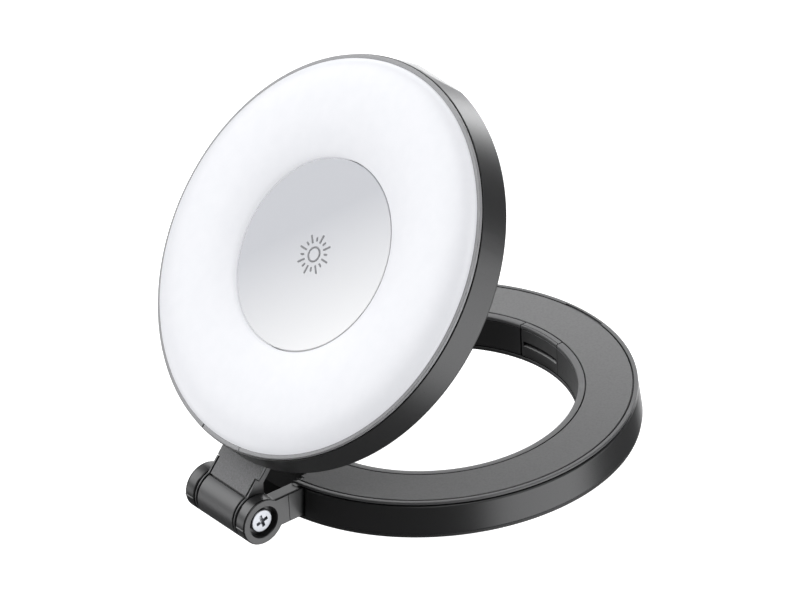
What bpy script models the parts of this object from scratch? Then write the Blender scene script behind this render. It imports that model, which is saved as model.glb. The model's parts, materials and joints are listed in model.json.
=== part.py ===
"""A folding ring light: a flat magnetic ring, and a round lamp head that folds over it on a hinge.

Base shapes are drawn about the ring's centre on its underside, and head shapes about the hinge axis.
"""

import math

import bmesh
import bpy
from mathutils import Matrix

MM = 0.001

# Ring base: heights are above its underside.
RING_RADIUS = 30.0 * MM
RING_HOLE_RADIUS = 21.1 * MM
RING_HEIGHT = 5.8 * MM
RING_WALL = 1.0 * MM
FLOOR_BOTTOM = 0.8 * MM
FLOOR_TOP = 1.6 * MM
SHELL_TOP = 5.18 * MM
COVER_THICKNESS = 0.6 * MM
COVER_INSET = 0.4 * MM
WEB_BOTTOM = 4.2 * MM
LIP_BOTTOM = 5.28 * MM
PAD_SEAT = 5.44 * MM
PAD_OUTER_RADIUS = 29.6 * MM
PAD_INNER_RADIUS = 22.2 * MM
CHAMFER = 0.2 * MM

# Magnet array and its steel backing ring.
MAGNET_INNER_RADIUS = 23.2 * MM
MAGNET_OUTER_RADIUS = 27.8 * MM
STEEL_BOTTOM = 1.8 * MM
STEEL_TOP = 2.3 * MM
MAGNET_BOTTOM = 2.5 * MM
MAGNET_TOP = 4.0 * MM
MAGNETS_PER_SIDE = 6
MAGNET_END_DEG = 162.0
MAGNET_START_DEG = {"left": 16.0, "right": 9.0}
MAGNET_SPACE_DEG = 0.7

# Slotted insert in the ring opposite the hinge.
INSERT_LOW_Y = -2.4 * MM
INSERT_HIGH_Y = 5.7 * MM
INSERT_BOTTOM = 1.9 * MM
SLOT_BOTTOM = 2.05 * MM
SLOT_TOP = 3.2 * MM
SLOT_DEPTH = 1.1 * MM
SLOT_END_WALL = 0.5 * MM

# Hinge: its axis runs along Y, beside the ring.
HINGE_X = -36.46 * MM
HINGE_Z = 2.42 * MM
BARREL_RADIUS = 3.53 * MM
EAR_OUTER_Y = 7.1 * MM
EAR_INNER_Y = 5.0 * MM
ARM_BOTTOM = 0.56 * MM
ARM_ROOT_X = -29.2 * MM
COUNTERBORE_RADIUS = 2.47 * MM
COUNTERBORE_DEPTH = 1.25 * MM
EAR_HOLE_RADIUS = 1.1 * MM
PIN_RADIUS = 1.5 * MM
PIN_BORE_RADIUS = 1.05 * MM
PIN_HALF_LENGTH = 4.9 * MM
PIN_CLEARANCE = 0.1 * MM
SCREW_HEAD_RADIUS = 1.83 * MM
SCREW_HEAD_HEIGHT = 0.75 * MM
SCREW_SHANK_RADIUS = 0.95 * MM
SCREW_SHANK_LENGTH = 4.0 * MM
WASHER_RADIUS = 2.4 * MM
WASHER_INNER_Y = 4.5 * MM
WASHER_OUTER_Y = 4.9 * MM

# Notch that the hinge arm lies in when the head is folded down.
NOTCH_HALF_WIDTH = 5.1 * MM
NOTCH_END_X = -24.6 * MM
NOTCH_FLOOR = 3.6 * MM
NOTCH_CORNER = 1.2 * MM
HINGE_BLOCK_HALF_DEG = 15.0
HINGE_BLOCK_TOP = 4.1 * MM

# Hinge arm: U runs from the hinge axis towards the lamp. N is height over the axis with the head folded.
ARM_HALF_WIDTH = 4.8 * MM
CHEEK_INNER_Y = 4.5 * MM
BARREL_BODY_HALF_WIDTH = 4.2 * MM
CHEEK_GROOVE_RADIUS = 3.0 * MM
TONGUE_START_U = 5.0 * MM
TONGUE_END_U = 11.4 * MM
TONGUE_BACK_N = 1.6 * MM
TONGUE_FRONT_N = 2.45 * MM
TONGUE_CORNER = 2.0 * MM
BOSS_START_U = 7.9 * MM
BOSS_TOP_N = 3.4 * MM
FRONT_PLATE_START_U = 2.1 * MM
FRONT_PLATE_END_U = 7.6 * MM
FRONT_PLATE_BACK_N = 2.6 * MM
FRONT_PLATE_TOP_N = 3.0 * MM
ARM_SCREW_U = 9.75 * MM
ARM_SCREW_Y = 2.8 * MM
ARM_SCREW_HEAD_RADIUS = 1.15 * MM
ARM_SCREW_SHANK_RADIUS = 0.6 * MM
ARM_SCREW_TIP_N = 5.0 * MM

# Lamp head: a turned stack about its own axis, at HEAD_U from the hinge. Heights are N.
OPEN_ANGLE_DEG = 49.4
HEAD_U = 38.0 * MM
HOUSING_BACK = 3.6 * MM
HOUSING_FLOOR = 4.5 * MM
HOUSING_RIM = 8.35 * MM
HOUSING_BACK_RADIUS = 30.8 * MM
HOUSING_RIM_RADIUS = 30.6 * MM
HOUSING_INNER_RADIUS = 29.4 * MM
PORT_FLAT_X = 30.34 * MM
BEZEL_RADIUS = 30.55 * MM
BEZEL_INNER_RADIUS = 29.9 * MM
BEZEL_BOTTOM = 8.47 * MM
BEZEL_TOP = 8.96 * MM
DIFFUSER_RADIUS = 29.75 * MM
DIFFUSER_INNER_RADIUS = 15.0 * MM
DIFFUSER_SKIRT_RADIUS = 29.2 * MM
DIFFUSER_WALL = 1.0 * MM
DIFFUSER_CREST = 1.9 * MM
DIFFUSER_INNER_EDGE = 1.35 * MM
DIFFUSER_CREST_SHARE = 0.55
DISC_RADIUS = 14.6 * MM
DISC_TOP = 9.91 * MM
DISC_BOTTOM = 9.0 * MM
CARRIER_TOP = 8.8 * MM
CARRIER_BOTTOM = 4.7 * MM
CARRIER_PLATE = 0.6 * MM
CARRIER_RADIUS = 14.8 * MM
CARRIER_WALL = 0.9 * MM
ELECTRODE_RADIUS = 9.0 * MM
ELECTRODE_BOTTOM = 7.85 * MM
ELECTRODE_TOP = 8.05 * MM

# Electronics inside the head.
BOARD_INNER_RADIUS = 16.0 * MM
BOARD_OUTER_RADIUS = 26.8 * MM
BOARD_BOTTOM = 5.7 * MM
BOARD_TOP = 6.5 * MM
LED_COUNT = 18
LED_CIRCLE_RADIUS = 21.2 * MM
LED_SIZE = (2.0 * MM, 1.2 * MM, 0.6 * MM)
BOARD_SCREW_ANGLES_DEG = (60.0, 180.0, 300.0)
BOARD_SCREW_CIRCLE_RADIUS = 24.8 * MM
BOARD_SCREW_HEAD_RADIUS = 1.1 * MM
BOARD_SCREW_SHANK_RADIUS = 0.5 * MM
BOARD_BOSS_RADIUS = 1.4 * MM
BOARD_BOSS_TOP = 5.5 * MM
PORT_HALF_WIDTH = 4.47 * MM
PORT_BOTTOM = 4.75 * MM
PORT_TOP = 7.9 * MM
PORT_INNER_X = 22.6 * MM
PORT_OUTER_X = 29.9 * MM
PORT_SHELL = 0.3 * MM
CONTROL_BOARD = (16.6 * MM, 22.3 * MM, 5.5 * MM)
CONTROL_BOARD_BOTTOM = 4.7 * MM
CONTROL_BOARD_TOP = 5.5 * MM
BATTERY_SIZE = (20.0 * MM, 17.0 * MM)
FOAM_BOTTOM = 4.6 * MM
FOAM_TOP = 4.8 * MM
BATTERY_BOTTOM = 4.9 * MM
BATTERY_TOP = 7.6 * MM
LEAD_RADIUS = 0.3 * MM

GAP = 0.1 * MM
OVERLAP = 0.3 * MM
RIM_STEPS = 60
INNER_STEPS = 40
BARREL_STEPS = 32
SMALL_STEPS = 16
SHARP_ANGLE = math.radians(35)
WELD_DISTANCE = 1e-7

# Moves the ring's centre so that the world origin is under the middle of the whole object.
ORIGIN_SHIFT = (
    -(HINGE_X - BARREL_RADIUS + RING_RADIUS) / 2,
    0.0,
    BARREL_RADIUS - HINGE_Z,
)


# ---------------------------------------------------------------- helpers

def clear_scene():
    for obj in list(bpy.data.objects):
        bpy.data.objects.remove(obj, do_unlink=True)


def plain_material(name, colour, roughness, metallic=0.0):
    material = bpy.data.materials.new(name)
    material.use_nodes = True
    shader = material.node_tree.nodes["Principled BSDF"]
    shader.inputs["Base Color"].default_value = (*colour, 1.0)
    shader.inputs["Roughness"].default_value = roughness
    shader.inputs["Metallic"].default_value = metallic
    return material


def add_empty(name, location, parent=None):
    empty = bpy.data.objects.new(name, None)
    empty.empty_display_size = 5 * MM
    empty.location = location
    empty.parent = parent
    bpy.context.scene.collection.objects.link(empty)
    return empty


def add_object(name, bm, material, parent, location=(0, 0, 0), turn=0.0):
    """Makes bm a smooth-shaded object. turn is its rotation about its own Z."""
    bmesh.ops.recalc_face_normals(bm, faces=bm.faces)
    mesh = bpy.data.meshes.new(name)
    bm.to_mesh(mesh)
    bm.free()
    mesh.shade_smooth()
    mesh.set_sharp_from_angle(angle=SHARP_ANGLE)
    if material:
        mesh.materials.append(material)
    obj = bpy.data.objects.new(name, mesh)
    obj.parent = parent
    obj.location = location
    obj.rotation_euler = (0, 0, turn)
    bpy.context.scene.collection.objects.link(obj)
    return obj


def combine(obj, bm, operation):
    """Joins bm to obj, or takes it away, with a Boolean whose helper lies in obj's own frame."""
    helper = add_object(f"{obj.name}_{operation.lower()}_helper", bm, None, obj)
    helper.hide_render = True
    helper.display_type = "WIRE"
    modifier = obj.modifiers.new(operation.title(), "BOOLEAN")
    modifier.operation = operation
    modifier.object = helper


def cut(obj, bm):
    combine(obj, bm, "DIFFERENCE")


def join(obj, bm):
    combine(obj, bm, "UNION")


def lathe(profile, steps, start_deg=0.0, sweep_deg=360.0):
    """A closed outline of (radius, height) points turned about Z, whole or as a capped sector."""
    bm = bmesh.new()
    start = math.radians(start_deg)
    points = [
        bm.verts.new((r * math.cos(start), r * math.sin(start), z)) for r, z in profile
    ]
    edges = [bm.edges.new((points[i - 1], points[i])) for i in range(len(points))]
    whole = sweep_deg == 360.0
    if not whole:
        bm.faces.new(points)
    spun = bmesh.ops.spin(
        bm,
        geom=edges,
        cent=(0, 0, 0),
        axis=(0, 0, 1),
        angle=math.radians(sweep_deg),
        steps=steps,
        use_merge=whole,
    )
    if not whole:
        last = [e for e in spun["geom_last"] if isinstance(e, bmesh.types.BMEdge)]
        bmesh.ops.contextual_create(bm, geom=last)
    bmesh.ops.remove_doubles(bm, verts=bm.verts, dist=WELD_DISTANCE)
    return bm


def ring(inner, outer, bottom, top, steps, chamfer=0.0):
    """A flat ring with its outer edges chamfered."""
    profile = [(inner, bottom), (outer - chamfer, bottom)]
    if chamfer:
        profile.append((outer, bottom + chamfer))
        profile.append((outer, top - chamfer))
    profile.append((outer - chamfer, top))
    profile.append((inner, top))
    return lathe(profile, steps)


def block(low, high):
    """A box between two opposite corners."""
    bm = bmesh.new()
    bmesh.ops.create_cube(bm, size=1.0)
    size = [b - a for a, b in zip(low, high)]
    middle = [(a + b) / 2 for a, b in zip(low, high)]
    bmesh.ops.scale(bm, vec=size, verts=bm.verts)
    bmesh.ops.translate(bm, vec=middle, verts=bm.verts)
    return bm


def rounded_block(low, high, radius, corners):
    """A box with its upright edges rounded where corners(x, y) holds."""
    bm = block(low, high)
    upright = []
    for edge in bm.edges:
        a, b = (v.co for v in edge.verts)
        if abs(a.z - b.z) > WELD_DISTANCE and corners(a.x, a.y):
            upright.append(edge)
    bmesh.ops.bevel(
        bm, geom=upright, offset=radius, segments=5, profile=0.5, affect="EDGES"
    )
    return bm


def rod(radius, low, high, steps=SMALL_STEPS):
    """A cylinder on the Z axis."""
    bm = bmesh.new()
    bmesh.ops.create_cone(
        bm,
        cap_ends=True,
        segments=steps,
        radius1=radius,
        radius2=radius,
        depth=high - low,
    )
    bmesh.ops.translate(bm, vec=(0, 0, (low + high) / 2), verts=bm.verts)
    return bm


def along_y(bm):
    """Turns a shape drawn along Z so that it runs along Y, with its X kept."""
    bmesh.ops.rotate(bm, matrix=Matrix.Rotation(math.radians(-90), 3, "X"), verts=bm.verts)
    return bm


def moved(bm, offset):
    bmesh.ops.translate(bm, vec=offset, verts=bm.verts)
    return bm


def extrude_y(outline, low, high):
    """A closed outline of (x, z) points drawn from y = low to y = high."""
    bm = bmesh.new()
    face = bm.faces.new([bm.verts.new((x, low, z)) for x, z in outline])
    grown = bmesh.ops.extrude_face_region(bm, geom=[face])
    tops = [v for v in grown["geom"] if isinstance(v, bmesh.types.BMVert)]
    bmesh.ops.translate(bm, vec=(0, high - low, 0), verts=tops)
    return bm


def arc_points(centre, radius, start_deg, end_deg, steps):
    angles = [
        math.radians(start_deg + (end_deg - start_deg) * i / steps)
        for i in range(steps + 1)
    ]
    return [
        (centre[0] + radius * math.cos(a), centre[1] + radius * math.sin(a))
        for a in angles
    ]


def cross_recess(head_radius, face, depth):
    """Two crossed bars that sink into a screw head below z = face, as a list of cutters."""
    reach = head_radius * 0.55
    half = head_radius * 0.13
    bars = []
    for size in ((reach, half), (half, reach)):
        low = (-size[0], -size[1], face - depth)
        high = (size[0], size[1], face + depth)
        bars.append(block(low, high))
    return bars


def add_screw(name, head, shank, parent, location, material, tilt=(0, 0, 0)):
    """A pan-head cross screw on Z. The head's underside is at 0; head and shank are (radius, length)."""
    bevel = head[0] * 0.25
    profile = [
        (0.0, -shank[1]),
        (shank[0], -shank[1]),
        (shank[0], 0.0),
        (head[0], 0.0),
        (head[0], head[1] - bevel),
        (head[0] - bevel, head[1]),
        (0.0, head[1]),
    ]
    screw = add_object(name, lathe(profile, SMALL_STEPS), material, parent, location)
    screw.rotation_euler = tilt
    for bar in cross_recess(head[0], head[1], head[1] * 0.6):
        cut(screw, bar)
    return screw


# ---------------------------------------------------------------- ring base

def ring_wall_profile():
    """The base shell's channel: two walls on a floor, open at the top."""
    inner_face = RING_HOLE_RADIUS + RING_WALL * 0.9
    outer_face = RING_RADIUS - RING_WALL * 1.1
    return [
        (RING_HOLE_RADIUS + CHAMFER, FLOOR_BOTTOM),
        (RING_RADIUS - CHAMFER, FLOOR_BOTTOM),
        (RING_RADIUS, FLOOR_BOTTOM + CHAMFER),
        (RING_RADIUS, SHELL_TOP),
        (outer_face, SHELL_TOP),
        (outer_face, FLOOR_TOP),
        (inner_face, FLOOR_TOP),
        (inner_face, SHELL_TOP),
        (RING_HOLE_RADIUS, SHELL_TOP),
        (RING_HOLE_RADIUS, FLOOR_BOTTOM + CHAMFER),
    ]


def at_notch_end(x, y):
    return x > -RING_RADIUS


def notch_cutter(margin=0.0):
    """The pocket for the folded hinge arm, open towards the hinge, with round inner corners."""
    low = (-RING_RADIUS - 2 * MM, -NOTCH_HALF_WIDTH - margin, NOTCH_FLOOR)
    high = (NOTCH_END_X + margin, NOTCH_HALF_WIDTH + margin, RING_HEIGHT + MM)
    return rounded_block(low, high, NOTCH_CORNER, at_notch_end)


def ear_and_arm(side):
    """One hinge ear and the arm that carries it. side is -1 or +1 along Y."""
    centre = (HINGE_X, HINGE_Z)
    top_deg = math.degrees(math.asin((SHELL_TOP - HINGE_Z) / BARREL_RADIUS))
    bottom_deg = 360 + math.degrees(math.asin((ARM_BOTTOM - HINGE_Z) / BARREL_RADIUS))
    outline = arc_points(centre, BARREL_RADIUS, top_deg, 180, 12)
    outline += arc_points(centre, BARREL_RADIUS, 180, 270, 10)[1:]
    outline += arc_points(centre, BARREL_RADIUS, 270, bottom_deg, 6)[1:]
    outline += [(ARM_ROOT_X, ARM_BOTTOM), (ARM_ROOT_X, SHELL_TOP)]
    low, high = sorted((side * EAR_INNER_Y, side * EAR_OUTER_Y))
    return extrude_y(outline, low, high)


def ear_bores(side):
    """The counterbore and the through hole of one ear."""
    mouth = EAR_OUTER_Y - COUNTERBORE_DEPTH
    bores = []
    for radius, low, high in (
        (COUNTERBORE_RADIUS, mouth, EAR_OUTER_Y + 1 * MM),
        (EAR_HOLE_RADIUS, EAR_INNER_Y - 1 * MM, mouth + OVERLAP),
    ):
        ends = sorted((side * low, side * high))
        bore = along_y(rod(radius, ends[0], ends[1], BARREL_STEPS))
        bores.append(moved(bore, (HINGE_X, 0, HINGE_Z)))
    return bores


def base_shell(parent, material):
    shell = add_object("base_shell", lathe(ring_wall_profile(), RIM_STEPS), material, parent)
    hinge_block = [
        (RING_HOLE_RADIUS + OVERLAP, FLOOR_TOP - OVERLAP),
        (RING_RADIUS - OVERLAP, FLOOR_TOP - OVERLAP),
        (RING_RADIUS - OVERLAP, HINGE_BLOCK_TOP),
        (RING_HOLE_RADIUS + OVERLAP, HINGE_BLOCK_TOP),
    ]
    start = 180 - HINGE_BLOCK_HALF_DEG
    join(shell, lathe(hinge_block, 6, start, 2 * HINGE_BLOCK_HALF_DEG))
    for side in (-1, 1):
        join(shell, ear_and_arm(side))
        for bore in ear_bores(side):
            cut(shell, bore)
    cut(shell, notch_cutter())
    window_low = (RING_HOLE_RADIUS - 2 * MM, INSERT_LOW_Y, INSERT_BOTTOM - GAP)
    window_high = (RING_RADIUS + 1 * MM, INSERT_HIGH_Y, RING_HEIGHT)
    cut(shell, block(window_low, window_high))


def top_frame(parent, material):
    """The ring's lid: a web between the walls, thin lips over them, and a shallow seat for the pad."""
    web_inner = RING_HOLE_RADIUS + RING_WALL
    web_outer = RING_RADIUS - RING_WALL * 1.2
    lip_top = RING_HEIGHT - 0.05 * MM
    profile = [
        (web_inner, WEB_BOTTOM),
        (web_outer, WEB_BOTTOM),
        (web_outer, LIP_BOTTOM),
        (RING_RADIUS, LIP_BOTTOM),
        (RING_RADIUS, lip_top - CHAMFER / 2),
        (RING_RADIUS - CHAMFER / 2, lip_top),
        (PAD_OUTER_RADIUS, lip_top),
        (PAD_OUTER_RADIUS, PAD_SEAT),
        (PAD_INNER_RADIUS - GAP, PAD_SEAT),
        (PAD_INNER_RADIUS - GAP, lip_top),
        (RING_HOLE_RADIUS + CHAMFER / 2, LIP_BOTTOM + CHAMFER),
        (RING_HOLE_RADIUS + CHAMFER / 2, LIP_BOTTOM),
        (web_inner, LIP_BOTTOM),
    ]
    lid = add_object("base_top_frame", lathe(profile, RIM_STEPS), material, parent)
    cut(lid, notch_cutter())


def phone_pad(parent, material):
    outline = ring(
        PAD_INNER_RADIUS, PAD_OUTER_RADIUS - GAP, PAD_SEAT + GAP, RING_HEIGHT, RIM_STEPS
    )
    pad = add_object("phone_pad", outline, material, parent)
    cut(pad, notch_cutter(GAP))


def bottom_cover(parent, material):
    outline = ring(
        RING_HOLE_RADIUS + COVER_INSET,
        RING_RADIUS - COVER_INSET,
        0.0,
        COVER_THICKNESS,
        RIM_STEPS,
        CHAMFER / 2,
    )
    add_object("bottom_cover", outline, material, parent)


def steel_ring(parent, material):
    """The magnets' backing ring, open at the hinge."""
    profile = [
        (MAGNET_INNER_RADIUS - GAP, STEEL_BOTTOM),
        (MAGNET_OUTER_RADIUS + GAP, STEEL_BOTTOM),
        (MAGNET_OUTER_RADIUS + GAP, STEEL_TOP),
        (MAGNET_INNER_RADIUS - GAP, STEEL_TOP),
    ]
    sector = lathe(profile, INNER_STEPS, -MAGNET_END_DEG, 2 * MAGNET_END_DEG)
    add_object("steel_ring", sector, material, parent)


def magnets(parent, material):
    """Arc magnets on both sides of the ring, with openings at the hinge and at the insert."""
    profile = [
        (MAGNET_INNER_RADIUS, MAGNET_BOTTOM),
        (MAGNET_OUTER_RADIUS, MAGNET_BOTTOM),
        (MAGNET_OUTER_RADIUS, MAGNET_TOP),
        (MAGNET_INNER_RADIUS, MAGNET_TOP),
    ]
    for side, direction in (("left", 1), ("right", -1)):
        first = MAGNET_START_DEG[side]
        pitch = (MAGNET_END_DEG - first) / MAGNETS_PER_SIDE
        for i in range(MAGNETS_PER_SIDE):
            middle = direction * (first + pitch * (i + 0.5))
            sweep = pitch - MAGNET_SPACE_DEG
            arc = lathe(profile, 6, -sweep / 2, sweep)
            name = f"magnet_{side}_{i + 1}"
            add_object(name, arc, material, parent, turn=math.radians(middle))


def slot_insert(parent, material):
    """The insert opposite the hinge. It completes both walls, and its inner face has a finger slot."""
    inner_face = RING_HOLE_RADIUS + RING_WALL * 0.9
    outer_face = RING_RADIUS - RING_WALL * 1.1
    slot_back = RING_HOLE_RADIUS + SLOT_DEPTH
    profile = [
        (RING_HOLE_RADIUS, INSERT_BOTTOM),
        (slot_back + 0.5 * MM, INSERT_BOTTOM),
        (slot_back + 0.5 * MM, MAGNET_BOTTOM),
        (outer_face, MAGNET_BOTTOM),
        (outer_face, INSERT_BOTTOM),
        (RING_RADIUS, INSERT_BOTTOM),
        (RING_RADIUS, SHELL_TOP),
        (outer_face, SHELL_TOP),
        (outer_face, HINGE_BLOCK_TOP),
        (inner_face, HINGE_BLOCK_TOP),
        (inner_face, SHELL_TOP),
        (RING_HOLE_RADIUS, SHELL_TOP),
    ]
    insert = add_object("slot_insert", lathe(profile, 8, -12.0, 36.0), material, parent)
    low = (RING_HOLE_RADIUS - 2 * MM, INSERT_LOW_Y + GAP, 0.0)
    high = (RING_RADIUS + 1 * MM, INSERT_HIGH_Y - GAP, RING_HEIGHT)
    combine(insert, block(low, high), "INTERSECT")
    slot_low = (RING_HOLE_RADIUS - 2 * MM, INSERT_LOW_Y + SLOT_END_WALL, SLOT_BOTTOM)
    slot_high = (slot_back, INSERT_HIGH_Y - SLOT_END_WALL, SLOT_TOP)
    cut(insert, block(slot_low, slot_high))


# ---------------------------------------------------------------- hinge hardware on the base

def hinge_pin(parent, material):
    """The threaded sleeve that the hinge arm turns on."""
    tube = ring(PIN_BORE_RADIUS, PIN_RADIUS, -PIN_HALF_LENGTH, PIN_HALF_LENGTH, SMALL_STEPS)
    add_object("hinge_pin_sleeve", along_y(tube), material, parent, (HINGE_X, 0, HINGE_Z))


def hinge_screws(parent, material):
    seat = EAR_OUTER_Y - COUNTERBORE_DEPTH + 0.05 * MM
    for label, side in (("right", -1), ("left", 1)):
        add_screw(
            f"hinge_screw_{label}",
            (SCREW_HEAD_RADIUS, SCREW_HEAD_HEIGHT),
            (SCREW_SHANK_RADIUS, SCREW_SHANK_LENGTH),
            parent,
            (HINGE_X, side * seat, HINGE_Z),
            material,
            (-side * math.pi / 2, 0, 0),
        )


def hinge_washers(parent, material):
    """Friction washers between the ears and the hinge arm."""
    bore = PIN_RADIUS + PIN_CLEARANCE
    for label, side in (("right", -1), ("left", 1)):
        low, high = sorted((side * WASHER_INNER_Y, side * WASHER_OUTER_Y))
        disc = along_y(ring(bore, WASHER_RADIUS, low, high, BARREL_STEPS))
        name = f"hinge_washer_{label}"
        add_object(name, disc, material, parent, (HINGE_X, 0, HINGE_Z))


# ---------------------------------------------------------------- hinge arm on the head

def at_tongue_end(u, y):
    return u > TONGUE_END_U - MM


def hinge_arm(parent, material):
    """The knuckle on the pin, with a thin cheek at each end, and the tongue that carries the head."""
    barrel = along_y(rod(BARREL_RADIUS, -ARM_HALF_WIDTH, ARM_HALF_WIDTH, BARREL_STEPS))
    arm = add_object("hinge_arm", barrel, material, parent)
    neck = [
        (0.0, 0.2 * MM),
        (3.3 * MM, 0.2 * MM),
        (TONGUE_START_U, TONGUE_BACK_N),
        (TONGUE_START_U + OVERLAP, TONGUE_BACK_N),
        (TONGUE_START_U + OVERLAP, FRONT_PLATE_TOP_N),
        (0.0, FRONT_PLATE_TOP_N),
    ]
    join(arm, extrude_y(neck, -ARM_HALF_WIDTH, ARM_HALF_WIDTH))
    tongue_low = (TONGUE_START_U, -ARM_HALF_WIDTH, TONGUE_BACK_N)
    tongue_high = (TONGUE_END_U, ARM_HALF_WIDTH, TONGUE_FRONT_N)
    join(arm, rounded_block(tongue_low, tongue_high, TONGUE_CORNER, at_tongue_end))
    boss_low = (BOSS_START_U, -ARM_HALF_WIDTH, TONGUE_BACK_N + OVERLAP)
    boss_high = (TONGUE_END_U, ARM_HALF_WIDTH, BOSS_TOP_N)
    join(arm, rounded_block(boss_low, boss_high, TONGUE_CORNER, at_tongue_end))
    for start, half_width in (
        (FRONT_PLATE_START_U - GAP, CHEEK_INNER_Y),
        (TONGUE_START_U - GAP, 2 * ARM_HALF_WIDTH),
    ):
        low = (start, -half_width, FRONT_PLATE_BACK_N - GAP)
        cut(arm, block(low, (BOSS_START_U, half_width, BARREL_RADIUS + MM)))
    bore_end = ARM_HALF_WIDTH + MM
    cut(arm, along_y(rod(PIN_RADIUS + PIN_CLEARANCE, -bore_end, bore_end, BARREL_STEPS)))
    for side in (-1, 1):
        low, high = sorted((side * BARREL_BODY_HALF_WIDTH, side * CHEEK_INNER_Y))
        groove = ring(CHEEK_GROOVE_RADIUS, BARREL_RADIUS + OVERLAP, low, high, BARREL_STEPS)
        cut(arm, along_y(groove))
        low, high = sorted((side * (WASHER_INNER_Y - GAP), side * bore_end))
        cut(arm, along_y(rod(WASHER_RADIUS + GAP, low, high, BARREL_STEPS)))
        for radius, low, high in (
            (ARM_SCREW_SHANK_RADIUS + GAP, TONGUE_BACK_N - MM, BOSS_TOP_N + MM),
            (ARM_SCREW_HEAD_RADIUS + GAP, TONGUE_BACK_N - MM, TONGUE_BACK_N + 0.7 * MM),
        ):
            cut(arm, moved(rod(radius, low, high), (ARM_SCREW_U, side * ARM_SCREW_Y, 0)))


def arm_front_plate(parent, material):
    """The grained cover over the arm's front, wider beside the head than between the cheeks."""
    low_u, step_u, high_u = FRONT_PLATE_START_U, TONGUE_START_U, FRONT_PLATE_END_U
    outline = [
        (low_u, -BARREL_BODY_HALF_WIDTH),
        (step_u, -BARREL_BODY_HALF_WIDTH),
        (step_u, -ARM_HALF_WIDTH),
        (high_u, -ARM_HALF_WIDTH),
        (high_u, ARM_HALF_WIDTH),
        (step_u, ARM_HALF_WIDTH),
        (step_u, BARREL_BODY_HALF_WIDTH),
        (low_u, BARREL_BODY_HALF_WIDTH),
    ]
    bm = bmesh.new()
    face = bm.faces.new([bm.verts.new((u, y, FRONT_PLATE_BACK_N)) for u, y in outline])
    grown = bmesh.ops.extrude_face_region(bm, geom=[face])
    tops = [v for v in grown["geom"] if isinstance(v, bmesh.types.BMVert)]
    thickness = FRONT_PLATE_TOP_N - FRONT_PLATE_BACK_N
    bmesh.ops.translate(bm, vec=(0, 0, thickness), verts=tops)
    add_object("arm_front_plate", bm, material, parent)


def arm_screws(parent, material):
    """The two screws through the tongue into the head, heads sunk in the tongue's back."""
    head_height = 0.5 * MM
    seat = TONGUE_BACK_N + 0.1 * MM + head_height
    for label, side in (("right", -1), ("left", 1)):
        add_screw(
            f"arm_screw_{label}",
            (ARM_SCREW_HEAD_RADIUS, head_height),
            (ARM_SCREW_SHANK_RADIUS, ARM_SCREW_TIP_N - seat),
            parent,
            (ARM_SCREW_U, side * ARM_SCREW_Y, seat),
            material,
            (math.pi, 0, 0),
        )


# ---------------------------------------------------------------- lamp head

def add_turned(name, profile, steps, material, parent):
    """A turned piece of the lamp head, on the head's own axis."""
    return add_object(name, lathe(profile, steps), material, parent, (HEAD_U, 0, 0))


def board_screw_places():
    places = []
    for degrees in BOARD_SCREW_ANGLES_DEG:
        turn = math.radians(degrees)
        x = BOARD_SCREW_CIRCLE_RADIUS * math.cos(turn)
        y = BOARD_SCREW_CIRCLE_RADIUS * math.sin(turn)
        places.append((x, y))
    return places


def head_housing(parent, material):
    """The head's back shell: a floor and a slightly tapered wall, with a port opening at its far side."""
    profile = [
        (0.0, HOUSING_BACK),
        (HOUSING_BACK_RADIUS - 0.5 * MM, HOUSING_BACK),
        (HOUSING_BACK_RADIUS, HOUSING_BACK + 0.4 * MM),
        (HOUSING_RIM_RADIUS, HOUSING_RIM),
        (HOUSING_INNER_RADIUS, HOUSING_RIM),
        (HOUSING_INNER_RADIUS, HOUSING_FLOOR),
        (0.0, HOUSING_FLOOR),
    ]
    housing = add_turned("head_housing", profile, RIM_STEPS, material, parent)
    floor_inside = HOUSING_FLOOR - OVERLAP
    arm_holes = [(ARM_SCREW_U - HEAD_U, side * ARM_SCREW_Y) for side in (-1, 1)]
    for x, y in board_screw_places():
        boss = rod(BOARD_BOSS_RADIUS, floor_inside, BOARD_BOSS_TOP)
        join(housing, moved(boss, (x, y, 0)))
        bore = rod(BOARD_SCREW_SHANK_RADIUS + GAP, HOUSING_FLOOR, BOARD_BOSS_TOP + MM)
        cut(housing, moved(bore, (x, y, 0)))
    for x, y in arm_holes:
        boss = rod(2 * ARM_SCREW_SHANK_RADIUS, floor_inside, BOARD_BOSS_TOP)
        join(housing, moved(boss, (x, y, 0)))
        bore = rod(ARM_SCREW_SHANK_RADIUS + GAP, HOUSING_BACK - MM, ARM_SCREW_TIP_N + GAP)
        cut(housing, moved(bore, (x, y, 0)))
    far = HOUSING_BACK_RADIUS + 5 * MM
    cut(housing, block((PORT_FLAT_X, -far, 0), (far, far, BEZEL_TOP)))
    mouth = PORT_HALF_WIDTH + GAP
    opening_low = (HOUSING_INNER_RADIUS - 1 * MM, -mouth, PORT_BOTTOM - GAP)
    opening_high = (far, mouth, PORT_TOP + GAP)
    cut(housing, block(opening_low, opening_high))


def bezel_ring(parent, material):
    profile = [
        (BEZEL_INNER_RADIUS, BEZEL_BOTTOM),
        (BEZEL_RADIUS, BEZEL_BOTTOM),
        (BEZEL_RADIUS, BEZEL_TOP - CHAMFER / 2),
        (BEZEL_RADIUS - CHAMFER / 2, BEZEL_TOP),
        (BEZEL_INNER_RADIUS, BEZEL_TOP),
    ]
    add_turned("bezel_ring", profile, RIM_STEPS, material, parent)


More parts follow.
